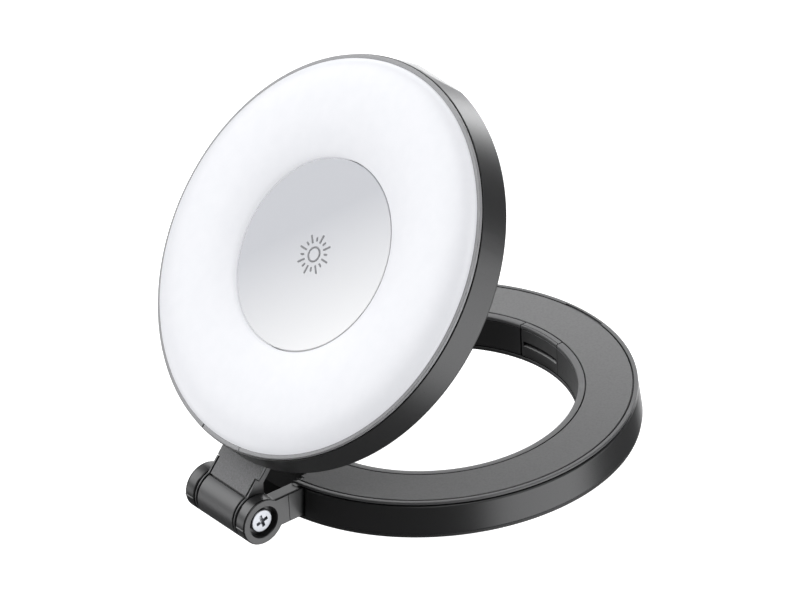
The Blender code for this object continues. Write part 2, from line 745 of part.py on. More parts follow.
def dome_height(share):
    """The diffuser's height over the bezel, at a share of the way from its outer to its inner edge."""
    if share < DIFFUSER_CREST_SHARE:
        rise = 1 - share / DIFFUSER_CREST_SHARE
        return DIFFUSER_CREST * math.sqrt(1 - rise**2.6)
    fall = (share - DIFFUSER_CREST_SHARE) / (1 - DIFFUSER_CREST_SHARE)
    return DIFFUSER_CREST - (DIFFUSER_CREST - DIFFUSER_INNER_EDGE) * fall**2


def diffuser(parent, material):
    """The milky ring-shaped dome, open underneath, with a skirt at both edges."""
    outer = []
    inner = []
    width = DIFFUSER_RADIUS - DIFFUSER_INNER_RADIUS
    for share in (0.0, 0.04, 0.14, 0.32, 0.55, 0.8, 1.0):
        outer.append((DIFFUSER_RADIUS - width * share, BEZEL_TOP + dome_height(share)))
    for share in (0.88, 0.5, 0.12):
        height = BEZEL_TOP + dome_height(share) - DIFFUSER_WALL
        inner.append((DIFFUSER_RADIUS - width * share, height))
    skirt_inner = DIFFUSER_INNER_RADIUS + DIFFUSER_WALL
    profile = [(DIFFUSER_RADIUS, BEZEL_BOTTOM)]
    profile += outer
    profile += [(DIFFUSER_INNER_RADIUS, 7.6 * MM), (skirt_inner, 7.6 * MM)]
    profile += inner
    profile += [
        (DIFFUSER_SKIRT_RADIUS - DIFFUSER_WALL, 7.4 * MM),
        (DIFFUSER_SKIRT_RADIUS, 7.4 * MM),
        (DIFFUSER_SKIRT_RADIUS, BEZEL_BOTTOM),
    ]
    lens = add_turned("diffuser", profile, RIM_STEPS, material, parent)
    clearance = PORT_HALF_WIDTH + 2 * GAP
    low = (PORT_INNER_X, -clearance, 0)
    high = (DIFFUSER_SKIRT_RADIUS + OVERLAP, clearance, PORT_TOP + 2 * GAP)
    cut(lens, block(low, high))


def touch_disc(parent, material):
    profile = [
        (0.0, DISC_BOTTOM),
        (DISC_RADIUS, DISC_BOTTOM),
        (DISC_RADIUS, DISC_TOP - CHAMFER / 2),
        (DISC_RADIUS - CHAMFER / 2, DISC_TOP),
        (0.0, DISC_TOP),
    ]
    add_turned("touch_disc", profile, RIM_STEPS, material, parent)


def disc_carrier(parent, material):
    """The cup that holds the touch disc over the battery. Its wall has a gateway for the leads."""
    profile = [
        (0.0, CARRIER_TOP - CARRIER_PLATE),
        (CARRIER_RADIUS - CARRIER_WALL, CARRIER_TOP - CARRIER_PLATE),
        (CARRIER_RADIUS - CARRIER_WALL, CARRIER_BOTTOM),
        (CARRIER_RADIUS, CARRIER_BOTTOM),
        (CARRIER_RADIUS, CARRIER_TOP),
        (0.0, CARRIER_TOP),
    ]
    cup = add_turned("disc_carrier", profile, INNER_STEPS, material, parent)
    low = (CARRIER_RADIUS - 3 * MM, -4 * MM, CARRIER_BOTTOM - MM)
    high = (CARRIER_RADIUS + MM, 4 * MM, CARRIER_BOTTOM + 2.6 * MM)
    cut(cup, block(low, high))


def touch_electrode(parent, material):
    plate = rod(ELECTRODE_RADIUS, ELECTRODE_BOTTOM, ELECTRODE_TOP, INNER_STEPS)
    add_object("touch_electrode", plate, material, parent, (HEAD_U, 0, 0))


# ---------------------------------------------------------------- electronics in the head

def led_board(parent, material):
    """The ring-shaped board with its lamps, notched where the port stands."""
    plate = ring(BOARD_INNER_RADIUS, BOARD_OUTER_RADIUS, BOARD_BOTTOM, BOARD_TOP, INNER_STEPS)
    board = add_object("led_board", plate, material, parent, (HEAD_U, 0, 0))
    length, width, height = LED_SIZE
    for i in range(LED_COUNT):
        turn = math.radians(360 / LED_COUNT * (i + 0.5))
        low = (-width / 2, -length / 2, BOARD_TOP - OVERLAP)
        high = (width / 2, length / 2, BOARD_TOP + height)
        lamp = moved(block(low, high), (LED_CIRCLE_RADIUS, 0, 0))
        bmesh.ops.rotate(lamp, matrix=Matrix.Rotation(turn, 3, "Z"), verts=lamp.verts)
        join(board, lamp)
    notch = PORT_HALF_WIDTH + 3 * GAP
    low = (PORT_INNER_X - 3 * GAP, -notch, BOARD_BOTTOM - MM)
    cut(board, block(low, (BOARD_OUTER_RADIUS + MM, notch, BOARD_TOP + MM)))
    for x, y in board_screw_places():
        hole = rod(BOARD_SCREW_SHANK_RADIUS + GAP, BOARD_BOTTOM - MM, BOARD_TOP + MM)
        cut(board, moved(hole, (x, y, 0)))


def board_screws(parent, material):
    seat = BOARD_TOP + 0.05 * MM
    for number, (x, y) in enumerate(board_screw_places(), 1):
        add_screw(
            f"board_screw_{number}",
            (BOARD_SCREW_HEAD_RADIUS, 0.5 * MM),
            (BOARD_SCREW_SHANK_RADIUS, 1.6 * MM),
            parent,
            (HEAD_U + x, y, seat),
            material,
        )


def control_board(parent, material):
    inner, outer, half_width = CONTROL_BOARD
    low = (inner, -half_width, CONTROL_BOARD_BOTTOM)
    high = (outer, half_width, CONTROL_BOARD_TOP)
    add_object("control_board", block(low, high), material, parent, (HEAD_U, 0, 0))


def charging_port(parent, material):
    """The charging socket: a pressed shell with a flat tongue inside, open at its outer end."""
    height = PORT_TOP - PORT_BOTTOM
    low = (PORT_INNER_X, -PORT_HALF_WIDTH, PORT_BOTTOM)
    high = (PORT_OUTER_X, PORT_HALF_WIDTH, PORT_TOP)
    shell = block(low, high)
    ends = [e for e in shell.edges if abs(e.verts[0].co.x - e.verts[1].co.x) > MM]
    bmesh.ops.bevel(shell, geom=ends, offset=height * 0.4, segments=4, profile=0.5, affect="EDGES")
    port = add_object("charging_port", shell, material, parent, (HEAD_U, 0, 0))
    hollow_low = (PORT_INNER_X + MM, -PORT_HALF_WIDTH + PORT_SHELL, PORT_BOTTOM + PORT_SHELL)
    hollow_high = (PORT_OUTER_X + MM, PORT_HALF_WIDTH - PORT_SHELL, PORT_TOP - PORT_SHELL)
    hollow = block(hollow_low, hollow_high)
    ends = [e for e in hollow.edges if abs(e.verts[0].co.x - e.verts[1].co.x) > MM]
    bmesh.ops.bevel(hollow, geom=ends, offset=height * 0.3, segments=4, profile=0.5, affect="EDGES")
    cut(port, hollow)
    middle = (PORT_TOP + PORT_BOTTOM) / 2
    tongue_low = (PORT_INNER_X + MM / 2, -3.3 * MM, middle - 0.35 * MM)
    join(port, block(tongue_low, (PORT_OUTER_X - MM, 3.3 * MM, middle + 0.35 * MM)))


def battery(parent, foil, foam):
    half_length, half_width = BATTERY_SIZE[0] / 2, BATTERY_SIZE[1] / 2
    low = (-half_length, -half_width, BATTERY_BOTTOM)
    high = (half_length, half_width, BATTERY_TOP)
    pouch = block(low, high)
    bmesh.ops.bevel(pouch, geom=pouch.edges[:], offset=0.5 * MM, segments=2, profile=0.5, affect="EDGES")
    add_object("battery", pouch, foil, parent, (HEAD_U, 0, 0))
    low = (-half_length + MM, -half_width + MM, FOAM_BOTTOM)
    high = (half_length - MM, half_width - MM, FOAM_TOP)
    add_object("battery_foam", block(low, high), foam, parent, (HEAD_U, 0, 0))


def add_lead(name, points, material, parent):
    """A thin insulated wire through the given points."""
    curve = bpy.data.curves.new(name, "CURVE")
    curve.dimensions = "3D"
    curve.bevel_depth = LEAD_RADIUS
    curve.bevel_resolution = 1
    curve.use_fill_caps = True
    spline = curve.splines.new("POLY")
    spline.points.add(len(points) - 1)
    for point, place in zip(spline.points, points):
        point.co = (*place, 1.0)
    curve.materials.append(material)
    lead = bpy.data.objects.new(name, curve)
    lead.parent = parent
    lead.location = (HEAD_U, 0, 0)
    bpy.context.scene.collection.objects.link(lead)


def battery_leads(parent, red, black):
    """Two wires from the battery, through the carrier's gateway, to the control board's inner edge."""
    start = BATTERY_SIZE[0] / 2 + GAP
    end = CONTROL_BOARD[0] - GAP
    low = CONTROL_BOARD_BOTTOM + 0.4 * MM
    for label, y, material in (("red", 1.6 * MM, red), ("black", -1.6 * MM, black)):
        points = [
            (start, y, low + 1.4 * MM),
            (start + 1.2 * MM, y * 1.1, low + 1.4 * MM),
            (start + 2.6 * MM, y * 1.2, low + 0.6 * MM),
            (end - 1.4 * MM, y * 1.1, low),
            (end, y, low),
        ]
        add_lead(f"battery_lead_{label}", points, material, parent)


# ---------------------------------------------------------------- assembly

def materials():
    return {
        "graphite": plain_material("graphite_plastic", (0.045, 0.046, 0.049), 0.45),
        "barrel": plain_material("barrel_plastic", (0.035, 0.036, 0.039), 0.35),
        "pad": plain_material("pad_leatherette", (0.16, 0.16, 0.165), 0.65),
        "cover": plain_material("cover_plastic", (0.02, 0.02, 0.022), 0.6),
        "bezel": plain_material("bezel_plastic", (0.37, 0.37, 0.375), 0.4),
        "diffuser": plain_material("milky_diffuser", (0.92, 0.92, 0.94), 0.35),
        "disc": plain_material("silver_disc", (0.72, 0.72, 0.74), 0.3, 0.6),
        "steel": plain_material("screw_steel", (0.75, 0.76, 0.78), 0.25, 1.0),
        "yoke": plain_material("ring_steel", (0.45, 0.45, 0.46), 0.4, 1.0),
        "nickel": plain_material("magnet_nickel", (0.66, 0.64, 0.6), 0.2, 1.0),
        "washer": plain_material("washer_polymer", (0.55, 0.56, 0.58), 0.5),
        "white": plain_material("white_plastic", (0.85, 0.85, 0.85), 0.5),
        "board": plain_material("board_white", (0.8, 0.82, 0.8), 0.45),
        "green": plain_material("board_green", (0.03, 0.2, 0.08), 0.4),
        "copper": plain_material("electrode_copper", (0.8, 0.42, 0.27), 0.3, 1.0),
        "foil": plain_material("battery_foil", (0.6, 0.6, 0.62), 0.35, 0.5),
        "foam": plain_material("battery_foam", (0.03, 0.03, 0.03), 0.9),
        "red": plain_material("lead_red", (0.6, 0.03, 0.03), 0.5),
        "black": plain_material("lead_black", (0.02, 0.02, 0.02), 0.5),
    }


def build_base(base, looks):
    base_shell(base, looks["graphite"])
    top_frame(base, looks["graphite"])
    phone_pad(base, looks["pad"])
    bottom_cover(base, looks["cover"])
    steel_ring(base, looks["yoke"])
    magnets(base, looks["nickel"])
    slot_insert(base, looks["graphite"])
    hinge_pin(base, looks["steel"])
    hinge_screws(base, looks["steel"])
    hinge_washers(base, looks["washer"])


def build_head(head, looks):
    hinge_arm(head, looks["barrel"])
    arm_front_plate(head, looks["graphite"])
    arm_screws(head, looks["steel"])
    head_housing(head, looks["graphite"])
    bezel_ring(head, looks["bezel"])
    diffuser(head, looks["diffuser"])
    touch_disc(head, looks["disc"])
    disc_carrier(head, looks["white"])
    touch_electrode(head, looks["copper"])
    led_board(head, looks["board"])
    board_screws(head, looks["steel"])
    control_board(head, looks["green"])
    charging_port(head, looks["steel"])
    battery(head, looks["foil"], looks["foam"])
    battery_leads(head, looks["red"], looks["black"])


def build():
    clear_scene()
    looks = materials()
    base = add_empty("ring_base", ORIGIN_SHIFT)
    build_base(base, looks)
    head = add_empty("head_pivot", (HINGE_X, 0, HINGE_Z), base)
    head.rotation_euler = (0, -math.radians(OPEN_ANGLE_DEG), 0)
    build_head(head, looks)


build()
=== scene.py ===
"""The looks of a small folding ring light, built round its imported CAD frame.

Pieces are drawn in millimetres in one of two frames. BASE has its origin at the ring's centre, on its
underside. HEAD has its origin on the hinge axis, with x towards the lamp and z out of the lamp's face.
"""

import json
import math

import bmesh
import bpy
from mathutils import Matrix, Vector, noise


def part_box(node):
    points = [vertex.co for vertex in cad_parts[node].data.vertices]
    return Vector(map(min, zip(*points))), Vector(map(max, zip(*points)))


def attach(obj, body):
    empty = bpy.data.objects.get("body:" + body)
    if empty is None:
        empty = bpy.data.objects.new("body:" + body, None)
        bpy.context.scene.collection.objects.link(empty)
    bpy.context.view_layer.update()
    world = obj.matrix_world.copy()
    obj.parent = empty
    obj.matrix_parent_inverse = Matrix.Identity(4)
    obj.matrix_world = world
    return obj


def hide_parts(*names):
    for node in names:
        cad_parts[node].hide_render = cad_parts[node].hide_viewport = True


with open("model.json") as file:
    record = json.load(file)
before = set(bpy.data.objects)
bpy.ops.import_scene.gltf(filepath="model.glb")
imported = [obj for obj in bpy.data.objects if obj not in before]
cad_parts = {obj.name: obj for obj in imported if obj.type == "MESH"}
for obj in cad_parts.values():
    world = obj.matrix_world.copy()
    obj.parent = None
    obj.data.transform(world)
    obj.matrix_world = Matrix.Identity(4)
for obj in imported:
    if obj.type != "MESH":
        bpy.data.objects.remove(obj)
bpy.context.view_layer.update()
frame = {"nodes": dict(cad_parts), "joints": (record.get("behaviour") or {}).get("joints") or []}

MM = 0.001
SHARP_ANGLE = math.radians(32)
WELD = 0.0005

# ---------------------------------------------------------------- places taken from the frame

hinge_joint = frame["joints"][0]
HINGE = Vector(hinge_joint["pos_m"])
OPEN_ANGLE = math.radians(-hinge_joint["range_deg"][0])
cover_low, cover_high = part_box("bottom_cover")
RING = Vector(((cover_low.x + cover_high.x) / 2, 0.0, cover_low.z))
TO_METRES = Matrix.Scale(MM, 4)
BASE = Matrix.Translation(RING) @ TO_METRES
HEAD = Matrix.Translation(HINGE) @ Matrix.Rotation(-OPEN_ANGLE, 4, "Y") @ TO_METRES
HINGE_X, _, HINGE_Z = (HINGE - RING) / MM


def local_box(node, place):
    """Lowest and highest corners of a CAD node in one of the two drawing frames, in millimetres."""
    back = place.inverted()
    points = [back @ v.co for v in frame["nodes"][node].data.vertices]
    low = Vector([min(p[i] for p in points) for i in range(3)])
    high = Vector([max(p[i] for p in points) for i in range(3)])
    return low, high


_, lid_high = local_box("base_top_frame", BASE)
pad_low, pad_high = local_box("phone_pad", BASE)
disc_low, disc_high = local_box("touch_disc", HEAD)
bezel_low, bezel_high = local_box("bezel_ring", HEAD)
_, housing_high = local_box("head_housing", HEAD)
insert_low, insert_high = local_box("slot_insert", BASE)
washer_low, washer_high = local_box("hinge_washer_left", BASE)
_, screw_high = local_box("hinge_screw_left", BASE)

HEAD_U = (disc_low.x + disc_high.x) / 2
RING_R = lid_high.y
PAD_TOP = pad_high.z + 0.08
DISC_R = disc_high.y
BEZEL_R = bezel_high.y
HOUSING_R = housing_high.y
PORT_FLAT = housing_high.x - HEAD_U

# Sizes of the base in its own drawing frame, in millimetres.
RING_STEPS = 288
WALL_FOOT = 0.62
FOOT_R = RING_R + 0.5
LIP_R = RING_R + 0.12
SHELL_TOP = 5.18
LID_TOP = 5.84
HOLE_R = 21.1
HOLE_TOP_R = 21.27
PAD_GAP_IN = 22.32
PAD_GAP_OUT = 29.5
NOTCH_HALF = 5.1
NOTCH_END = -24.6
NOTCH_FLOOR = 3.6
EAR_IN = 5.0
EAR_FACE = 7.1
ARM_TOP = 5.33
ARM_FOOT = 0.56
FLASH_ANGLE = 183.0
FLASH_HEIGHT = 0.16
BARREL_RADIUS = 3.6
BORE_R = 2.47
BORE_DEPTH = 1.25

# Sizes of the hinge arm, measured from the hinge axis, in millimetres.
CHEEK_GROOVE_IN = 4.2
CHEEK_GROOVE_OUT = 4.5
ARM_HALF = 4.8
PIN_R = 1.6
GROOVE_R = 3.0
WASHER_POCKET_R = 2.5
NECK_END = 4.9
TONGUE_END = 11.4
TONGUE_TOP = 2.45
ARM_SCREW_U = 9.75
ARM_SCREW_Y = 2.8


# ---------------------------------------------------------------- mesh helpers

def filleted(corners, steps=4):
    """A closed outline whose corners (a, b, radius) are rounded with arcs."""
    out = []
    count = len(corners)
    for i, corner in enumerate(corners):
        point = Vector(corner[:2])
        radius = corner[2] if len(corner) > 2 else 0.0
        if radius <= 0:
            out.append(tuple(point))
            continue
        before = Vector(corners[i - 1][:2]) - point
        after = Vector(corners[(i + 1) % count][:2]) - point
        d1, d2 = before.normalized(), after.normalized()
        angle = d1.angle(d2)
        reach = radius / math.tan(angle / 2)
        limit = 0.48 * min(before.length, after.length)
        if reach > limit:
            radius *= limit / reach
            reach = limit
        centre = point + (d1 + d2).normalized() * (radius / math.sin(angle / 2))
        a = point + d1 * reach - centre
        b = point + d2 * reach - centre
        sweep = a.angle(b)
        for k in range(steps + 1):
            t = k / steps
            mix = (a * math.sin((1 - t) * sweep) + b * math.sin(t * sweep)) / math.sin(sweep)
            out.append(tuple(centre + mix))
    return out


def outward(bm):
    """Turns every face of a closed shape outwards."""
    bmesh.ops.recalc_face_normals(bm, faces=bm.faces)
    if bm.calc_volume(signed=True) < 0:
        bmesh.ops.reverse_faces(bm, faces=bm.faces)
    return bm


def turned(outline, steps, start_deg=0.0, sweep_deg=360.0):
    """A closed outline of (radius, height) turned about Z, whole or as a capped sector."""
    bm = bmesh.new()
    whole = sweep_deg == 360.0
    rows = steps if whole else steps + 1
    rings = []
    axis_points = {}
    for j in range(rows):
        turn = math.radians(start_deg + sweep_deg * j / steps)
        row = []
        for i, (r, z) in enumerate(outline):
            if r < WELD:
                if i not in axis_points:
                    axis_points[i] = bm.verts.new((0.0, 0.0, z))
                row.append(axis_points[i])
            else:
                row.append(bm.verts.new((r * math.cos(turn), r * math.sin(turn), z)))
        rings.append(row)
    count = len(outline)
    for j in range(steps):
        a, b = rings[j], rings[(j + 1) % rows]
        for i in range(count):
            k = (i + 1) % count
            corners = []
            for v in (a[i], b[i], b[k], a[k]):
                if v not in corners:
                    corners.append(v)
            if len(corners) > 2:
                bm.faces.new(corners)
    if not whole:
        bm.faces.new(rings[0])
        bm.faces.new(list(reversed(rings[-1])))
    return outward(bm)


def prism(outline, low, high, bevel=0.0, segments=3):
    """A closed outline of (x, y) drawn from z = low to z = high, with both end edges rounded."""
    bm = bmesh.new()
    face = bm.faces.new([bm.verts.new((x, y, low)) for x, y in outline])
    grown = bmesh.ops.extrude_face_region(bm, geom=[face])
    tops = [v for v in grown["geom"] if isinstance(v, bmesh.types.BMVert)]
    bmesh.ops.translate(bm, vec=(0, 0, high - low), verts=tops)
    outward(bm)
    if bevel:
        ends = [e for e in bm.edges if abs(e.verts[0].co.z - e.verts[1].co.z) < WELD]
        bmesh.ops.bevel(
            bm, geom=ends, offset=bevel, segments=segments, profile=0.5, affect="EDGES"
        )
    return bm


def brick(low, high, bevel=0.0, segments=2):
    """A box between two corners with rounded edges."""
    bm = bmesh.new()
    bmesh.ops.create_cube(bm, size=1.0)
    size = [b - a for a, b in zip(low, high)]
    bmesh.ops.scale(bm, vec=size, verts=bm.verts)
    bmesh.ops.translate(bm, vec=[(a + b) / 2 for a, b in zip(low, high)], verts=bm.verts)
    if bevel:
        bmesh.ops.bevel(
            bm, geom=bm.edges[:], offset=bevel, segments=segments, profile=0.5, affect="EDGES"
        )
    return bm


def facing_y(bm, side=1):
    """Turns a shape drawn in (x, z) along Z so that it stands in the XZ plane and runs along Y."""
    matrix = Matrix(((1, 0, 0, 0), (0, 0, 1, 0), (0, 1, 0, 0), (0, 0, 0, 1)))
    bm.transform(matrix)
    if side < 0:
        bm.transform(Matrix.Scale(-1, 4, (0, 1, 0)))
    return outward(bm)


def moved(bm, offset):
    bmesh.ops.translate(bm, vec=offset, verts=bm.verts)
    return bm


def scratch_object(bm):
    mesh = bpy.data.meshes.new("scratch")
    bm.to_mesh(mesh)
    bm.free()
    obj = bpy.data.objects.new("scratch", mesh)
    bpy.context.scene.collection.objects.link(obj)
    return obj


def shaped(bm, joins=(), cuts=(), keeps=()):
    """bm with shapes joined to it, then cut from it, then kept only where other shapes are."""
    target = scratch_object(bm)
    tools = []
    for operation, shapes in (("UNION", joins), ("DIFFERENCE", cuts), ("INTERSECT", keeps)):
        for shape in shapes:
            tool = scratch_object(shape)
            tools.append(tool)
            modifier = target.modifiers.new(operation.title(), "BOOLEAN")
            modifier.operation = operation
            modifier.solver = "EXACT"
            modifier.object = tool
    bpy.context.view_layer.update()
    evaluated = target.evaluated_get(bpy.context.evaluated_depsgraph_get())
    result = bmesh.new()
    result.from_mesh(evaluated.to_mesh())
    evaluated.to_mesh_clear()
    for obj in tools + [target]:
        mesh = obj.data
        bpy.data.objects.remove(obj)
        bpy.data.meshes.remove(mesh)
    bmesh.ops.remove_doubles(result, verts=result.verts, dist=WELD)
    bmesh.ops.dissolve_degenerate(result, edges=result.edges, dist=WELD)
    return result


def merged(*parts):
    """Several closed shapes as one mesh."""
    result = bmesh.new()
    for part in parts:
        mesh = bpy.data.meshes.new("scratch")
        part.to_mesh(mesh)
        part.free()
        result.from_mesh(mesh)
        bpy.data.meshes.remove(mesh)
    return result


def piece(name, bm, place, look, body, slot, *nodes):
    """Makes bm a finished piece that rides on a body and stands for CAD nodes."""
    bm.transform(place)
    mesh = bpy.data.meshes.new(name)
    bm.to_mesh(mesh)
    bm.free()
    mesh.shade_smooth()
    mesh.set_sharp_from_angle(angle=SHARP_ANGLE)
    mesh.materials.append(look)
    obj = bpy.data.objects.new(name, mesh)
    bpy.context.scene.collection.objects.link(obj)
    weighted = obj.modifiers.new("Weighted", "WEIGHTED_NORMAL")
    weighted.keep_sharp = True
    weighted.weight = 80
    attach(obj, body)
    if nodes:
        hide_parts(*nodes)
    return obj


# ---------------------------------------------------------------- material helpers

class Look:
    """A node material built round the Principled shader."""

    def __init__(self, name, material=None):
        self.material = material or bpy.data.materials.new(name)
        self.material.use_nodes = True
        self.tree = self.material.node_tree
        self.shader = self.tree.nodes["Principled BSDF"]
        self.place = self.add("ShaderNodeTexCoord").outputs["Object"]

    def add(self, kind, inputs=None, **settings):
        node = self.tree.nodes.new(kind)
        for key, value in settings.items():
            setattr(node, key, value)
        for key, value in (inputs or {}).items():
            self.feed(node.inputs[key], value)
        return node

    def feed(self, socket, value):
        if isinstance(value, bpy.types.NodeSocket):
            self.tree.links.new(value, socket)
        else:
            socket.default_value = value

    def set(self, **inputs):
        for key, value in inputs.items():
            self.feed(self.shader.inputs[key.replace("_", " ")], value)

    def noise(self, per_mm, detail=3.0, roughness=0.55, stretch=(1, 1, 1)):
        scale = [s * per_mm / MM for s in stretch]
        spread = self.add("ShaderNodeMapping", {"Vector": self.place, "Scale": scale})
        return self.add(
            "ShaderNodeTexNoise",
            {
                "Vector": spread.outputs["Vector"],
                "Scale": 1.0,
                "Detail": detail,
                "Roughness": roughness,
            },
        ).outputs["Fac"]

    def cells(self, per_mm, feature="F1"):
        spread = self.add(
            "ShaderNodeMapping", {"Vector": self.place, "Scale": [per_mm / MM] * 3}
        )
        return self.add(
            "ShaderNodeTexVoronoi",
            {"Vector": spread.outputs["Vector"], "Scale": 1.0},
            feature=feature,
        ).outputs["Distance"]

    def ramp(self, value, low, high, start=0.0, end=1.0):
        """value mapped from low..high to start..end, clamped."""
        return self.add(
            "ShaderNodeMapRange",
            {"Value": value, "From Min": low, "From Max": high, "To Min": start, "To Max": end},
        ).outputs["Result"]

    def mix(self, factor, a, b):
        node = self.add("ShaderNodeMix", data_type="RGBA")
        self.feed(node.inputs[0], factor)
        self.feed(node.inputs[6], a)
        self.feed(node.inputs[7], b)
        return node.outputs[2]

    def math(self, operation, a, b=0.0):
        node = self.add("ShaderNodeMath", operation=operation)
        self.feed(node.inputs[0], a)
        self.feed(node.inputs[1], b)
        return node.outputs[0]

    def edges(self, low=0.52, high=0.6):
        """1 along worn outer edges."""
        pointiness = self.add("ShaderNodeNewGeometry").outputs["Pointiness"]
        return self.ramp(pointiness, low, high)

    def unshaded_share(self, reach_mm=0.5):
        """0 deep in gaps and seams, 1 on open faces: the mask by which shade is painted into gaps and seams.
        """
        inputs = {"Distance": reach_mm * MM}
        shade = self.add("ShaderNodeAmbientOcclusion", inputs, samples=6)
        return self.ramp(shade.outputs["AO"], 0.22, 0.65)

    def bump(self, height, depth_mm, strength=1.0, normal=None):
        inputs = {"Height": height, "Distance": depth_mm * MM, "Strength": strength}
        if normal:
            inputs["Normal"] = normal
        return self.add("ShaderNodeBump", inputs).outputs["Normal"]


def grey(level, tint=(1.0, 1.0, 1.0)):
    return (level * tint[0], level * tint[1], level * tint[2], 1.0)


def moulded(
    name, level, roughness, grain_per_mm, depth, tint=(1.0, 1.0, 1.02), wear=1.35, gaps=True, speck=0.14
):
    """Moulded plastic: spark-eroded grain, slight colour and gloss variation, paler worn edges, and, when
    gaps is on, painted shade deep in gaps and seams.
    """
    look = Look(name)
    grain = look.noise(grain_per_mm, 4.0, 0.65)
    cloud = look.noise(0.12, 2.0)
    tone = look.ramp(grain, 0.3, 0.7, 0.0, 1.0)
    body = look.mix(tone, grey(level * (1 - speck), tint), grey(level * (1 + speck), tint))
    body = look.mix(look.ramp(cloud, 0.35, 0.65, 0.0, 0.3), body, grey(level * 1.1, tint))
    worn = look.math("MULTIPLY", look.edges(), 0.6)
    colour = look.mix(worn, body, grey(min(1.0, level * wear), tint))
    gloss = look.ramp(grain, 0.3, 0.7, roughness * 0.9, roughness * 1.12)
    look.set(Base_Color=colour, Roughness=gloss, Normal=look.bump(grain, depth, 0.6))
    # Painted shade: deep in gaps and seams the colour falls towards 15 % of its level and the specular is
    # lowered.
    if gaps:
        lit_share = look.unshaded_share()
        look.set(
            Base_Color=look.mix(lit_share, grey(level * 0.15, tint), colour),
            Specular_IOR_Level=look.ramp(lit_share, 0.0, 1.0, 0.08, 0.5),
        )
    return look.material


def shell_painted_notch_shade(name, *settings):
    """The moulded finish of the base's shell, with painted shade in the notch under the folded arm, which is
    made near black and matt there.
    """
    material = moulded(name, *settings)
    look = Look(name, material)
    axes = look.add("ShaderNodeSeparateXYZ", {"Vector": look.place})
    # Painted shade: the notch lies in the shadow of the folded arm and the head, so its colour is set near
    # black and its specular to nothing.
    ends = [RING.x + (NOTCH_END + margin) * MM for margin in (0.3, 0.1)]
    along = look.ramp(axes.outputs["X"], *ends)
    across = look.math("ABSOLUTE", axes.outputs["Y"])
    across = look.ramp(across, (NOTCH_HALF + 0.2) * MM, (NOTCH_HALF + 0.1) * MM)
    tops = [RING.z + (SHELL_TOP + margin) * MM for margin in (0.05, -0.1)]
    below = look.ramp(axes.outputs["Z"], *tops)
    inside = look.math("MULTIPLY", look.math("MULTIPLY", along, across), below)
    for label, value in (("Base Color", grey(0.03)), ("Specular IOR Level", grey(0.0))):
        socket = look.shader.inputs[label]
        look.feed(socket, look.mix(inside, socket.links[0].from_socket, value))
    return material


def leatherette(name):
    """Fine soft-touch leatherette: small pebbles with creases between them, over finer pores, with painted
    shade deep in its gaps and seams.
    """
    look = Look(name)
    pebbles = look.cells(3.2, "SMOOTH_F1")
    pores = look.noise(14.0, 4.0, 0.7)
    cloud = look.noise(0.1, 2.0)
    relief = look.math("ADD", look.math("MULTIPLY", pebbles, 0.6), look.math("MULTIPLY", pores, 0.5))
    tone = look.ramp(pores, 0.28, 0.72, 0.0, 1.0)
    body = look.mix(tone, grey(0.135), grey(0.2))
    body = look.mix(look.ramp(cloud, 0.35, 0.65, 0.0, 0.35), body, grey(0.18))
    colour = look.mix(look.ramp(pebbles, 0.25, 0.7, 0.0, 0.35), body, grey(0.12))
    # Painted shade: deep in gaps and seams the colour goes near black.
    colour = look.mix(look.unshaded_share(), grey(0.02), colour)
    look.set(
        Base_Color=colour,
        Roughness=look.ramp(pores, 0.3, 0.7, 0.6, 0.78),
        Sheen_Weight=0.15,
        Sheen_Roughness=0.4,
        Normal=look.bump(relief, 0.012, 0.5),
    )
    return look.material


def metal(name, colour, roughness, streak=(1, 1, 1), per_mm=8.0, depth=0.002, metallic=1.0):
    look = Look(name)
    grain = look.noise(per_mm, 4.0, 0.6, streak)
    dull = [c * 0.86 for c in colour]
    tone = look.mix(look.ramp(grain, 0.3, 0.7), (*dull, 1.0), (*colour, 1.0))
    worn = look.math("MULTIPLY", look.edges(), 0.5)
    tone = look.mix(worn, tone, (*[min(1.0, c * 1.15) for c in colour], 1.0))
    look.set(
        Base_Color=tone,
        Metallic=metallic,
        Roughness=look.ramp(grain, 0.3, 0.7, roughness * 0.85, roughness * 1.2),
        Normal=look.bump(grain, depth, 0.4),
    )
    return look.material


def milky(name):
    """Translucent opal plastic, lit softly from inside, with a slightly violet shade at its edges."""
    look = Look(name)
    cloud = look.noise(0.5, 3.0)
    pores = look.noise(12.0, 3.0)
    colour = look.mix(look.ramp(cloud, 0.3, 0.7), (0.19, 0.192, 0.2, 1), (0.21, 0.21, 0.217, 1))
    look.set(
        Base_Color=colour,
        Roughness=look.ramp(pores, 0.3, 0.7, 0.3, 0.42),
        Subsurface_Weight=0.25,
        Subsurface_Radius=(1.0, 1.0, 1.1),
        Subsurface_Scale=MM,
        Emission_Color=(0.95, 0.96, 1.0, 1),
        Emission_Strength=GLOW,
        Normal=look.bump(pores, 0.003, 0.25),
    )
    return look.material


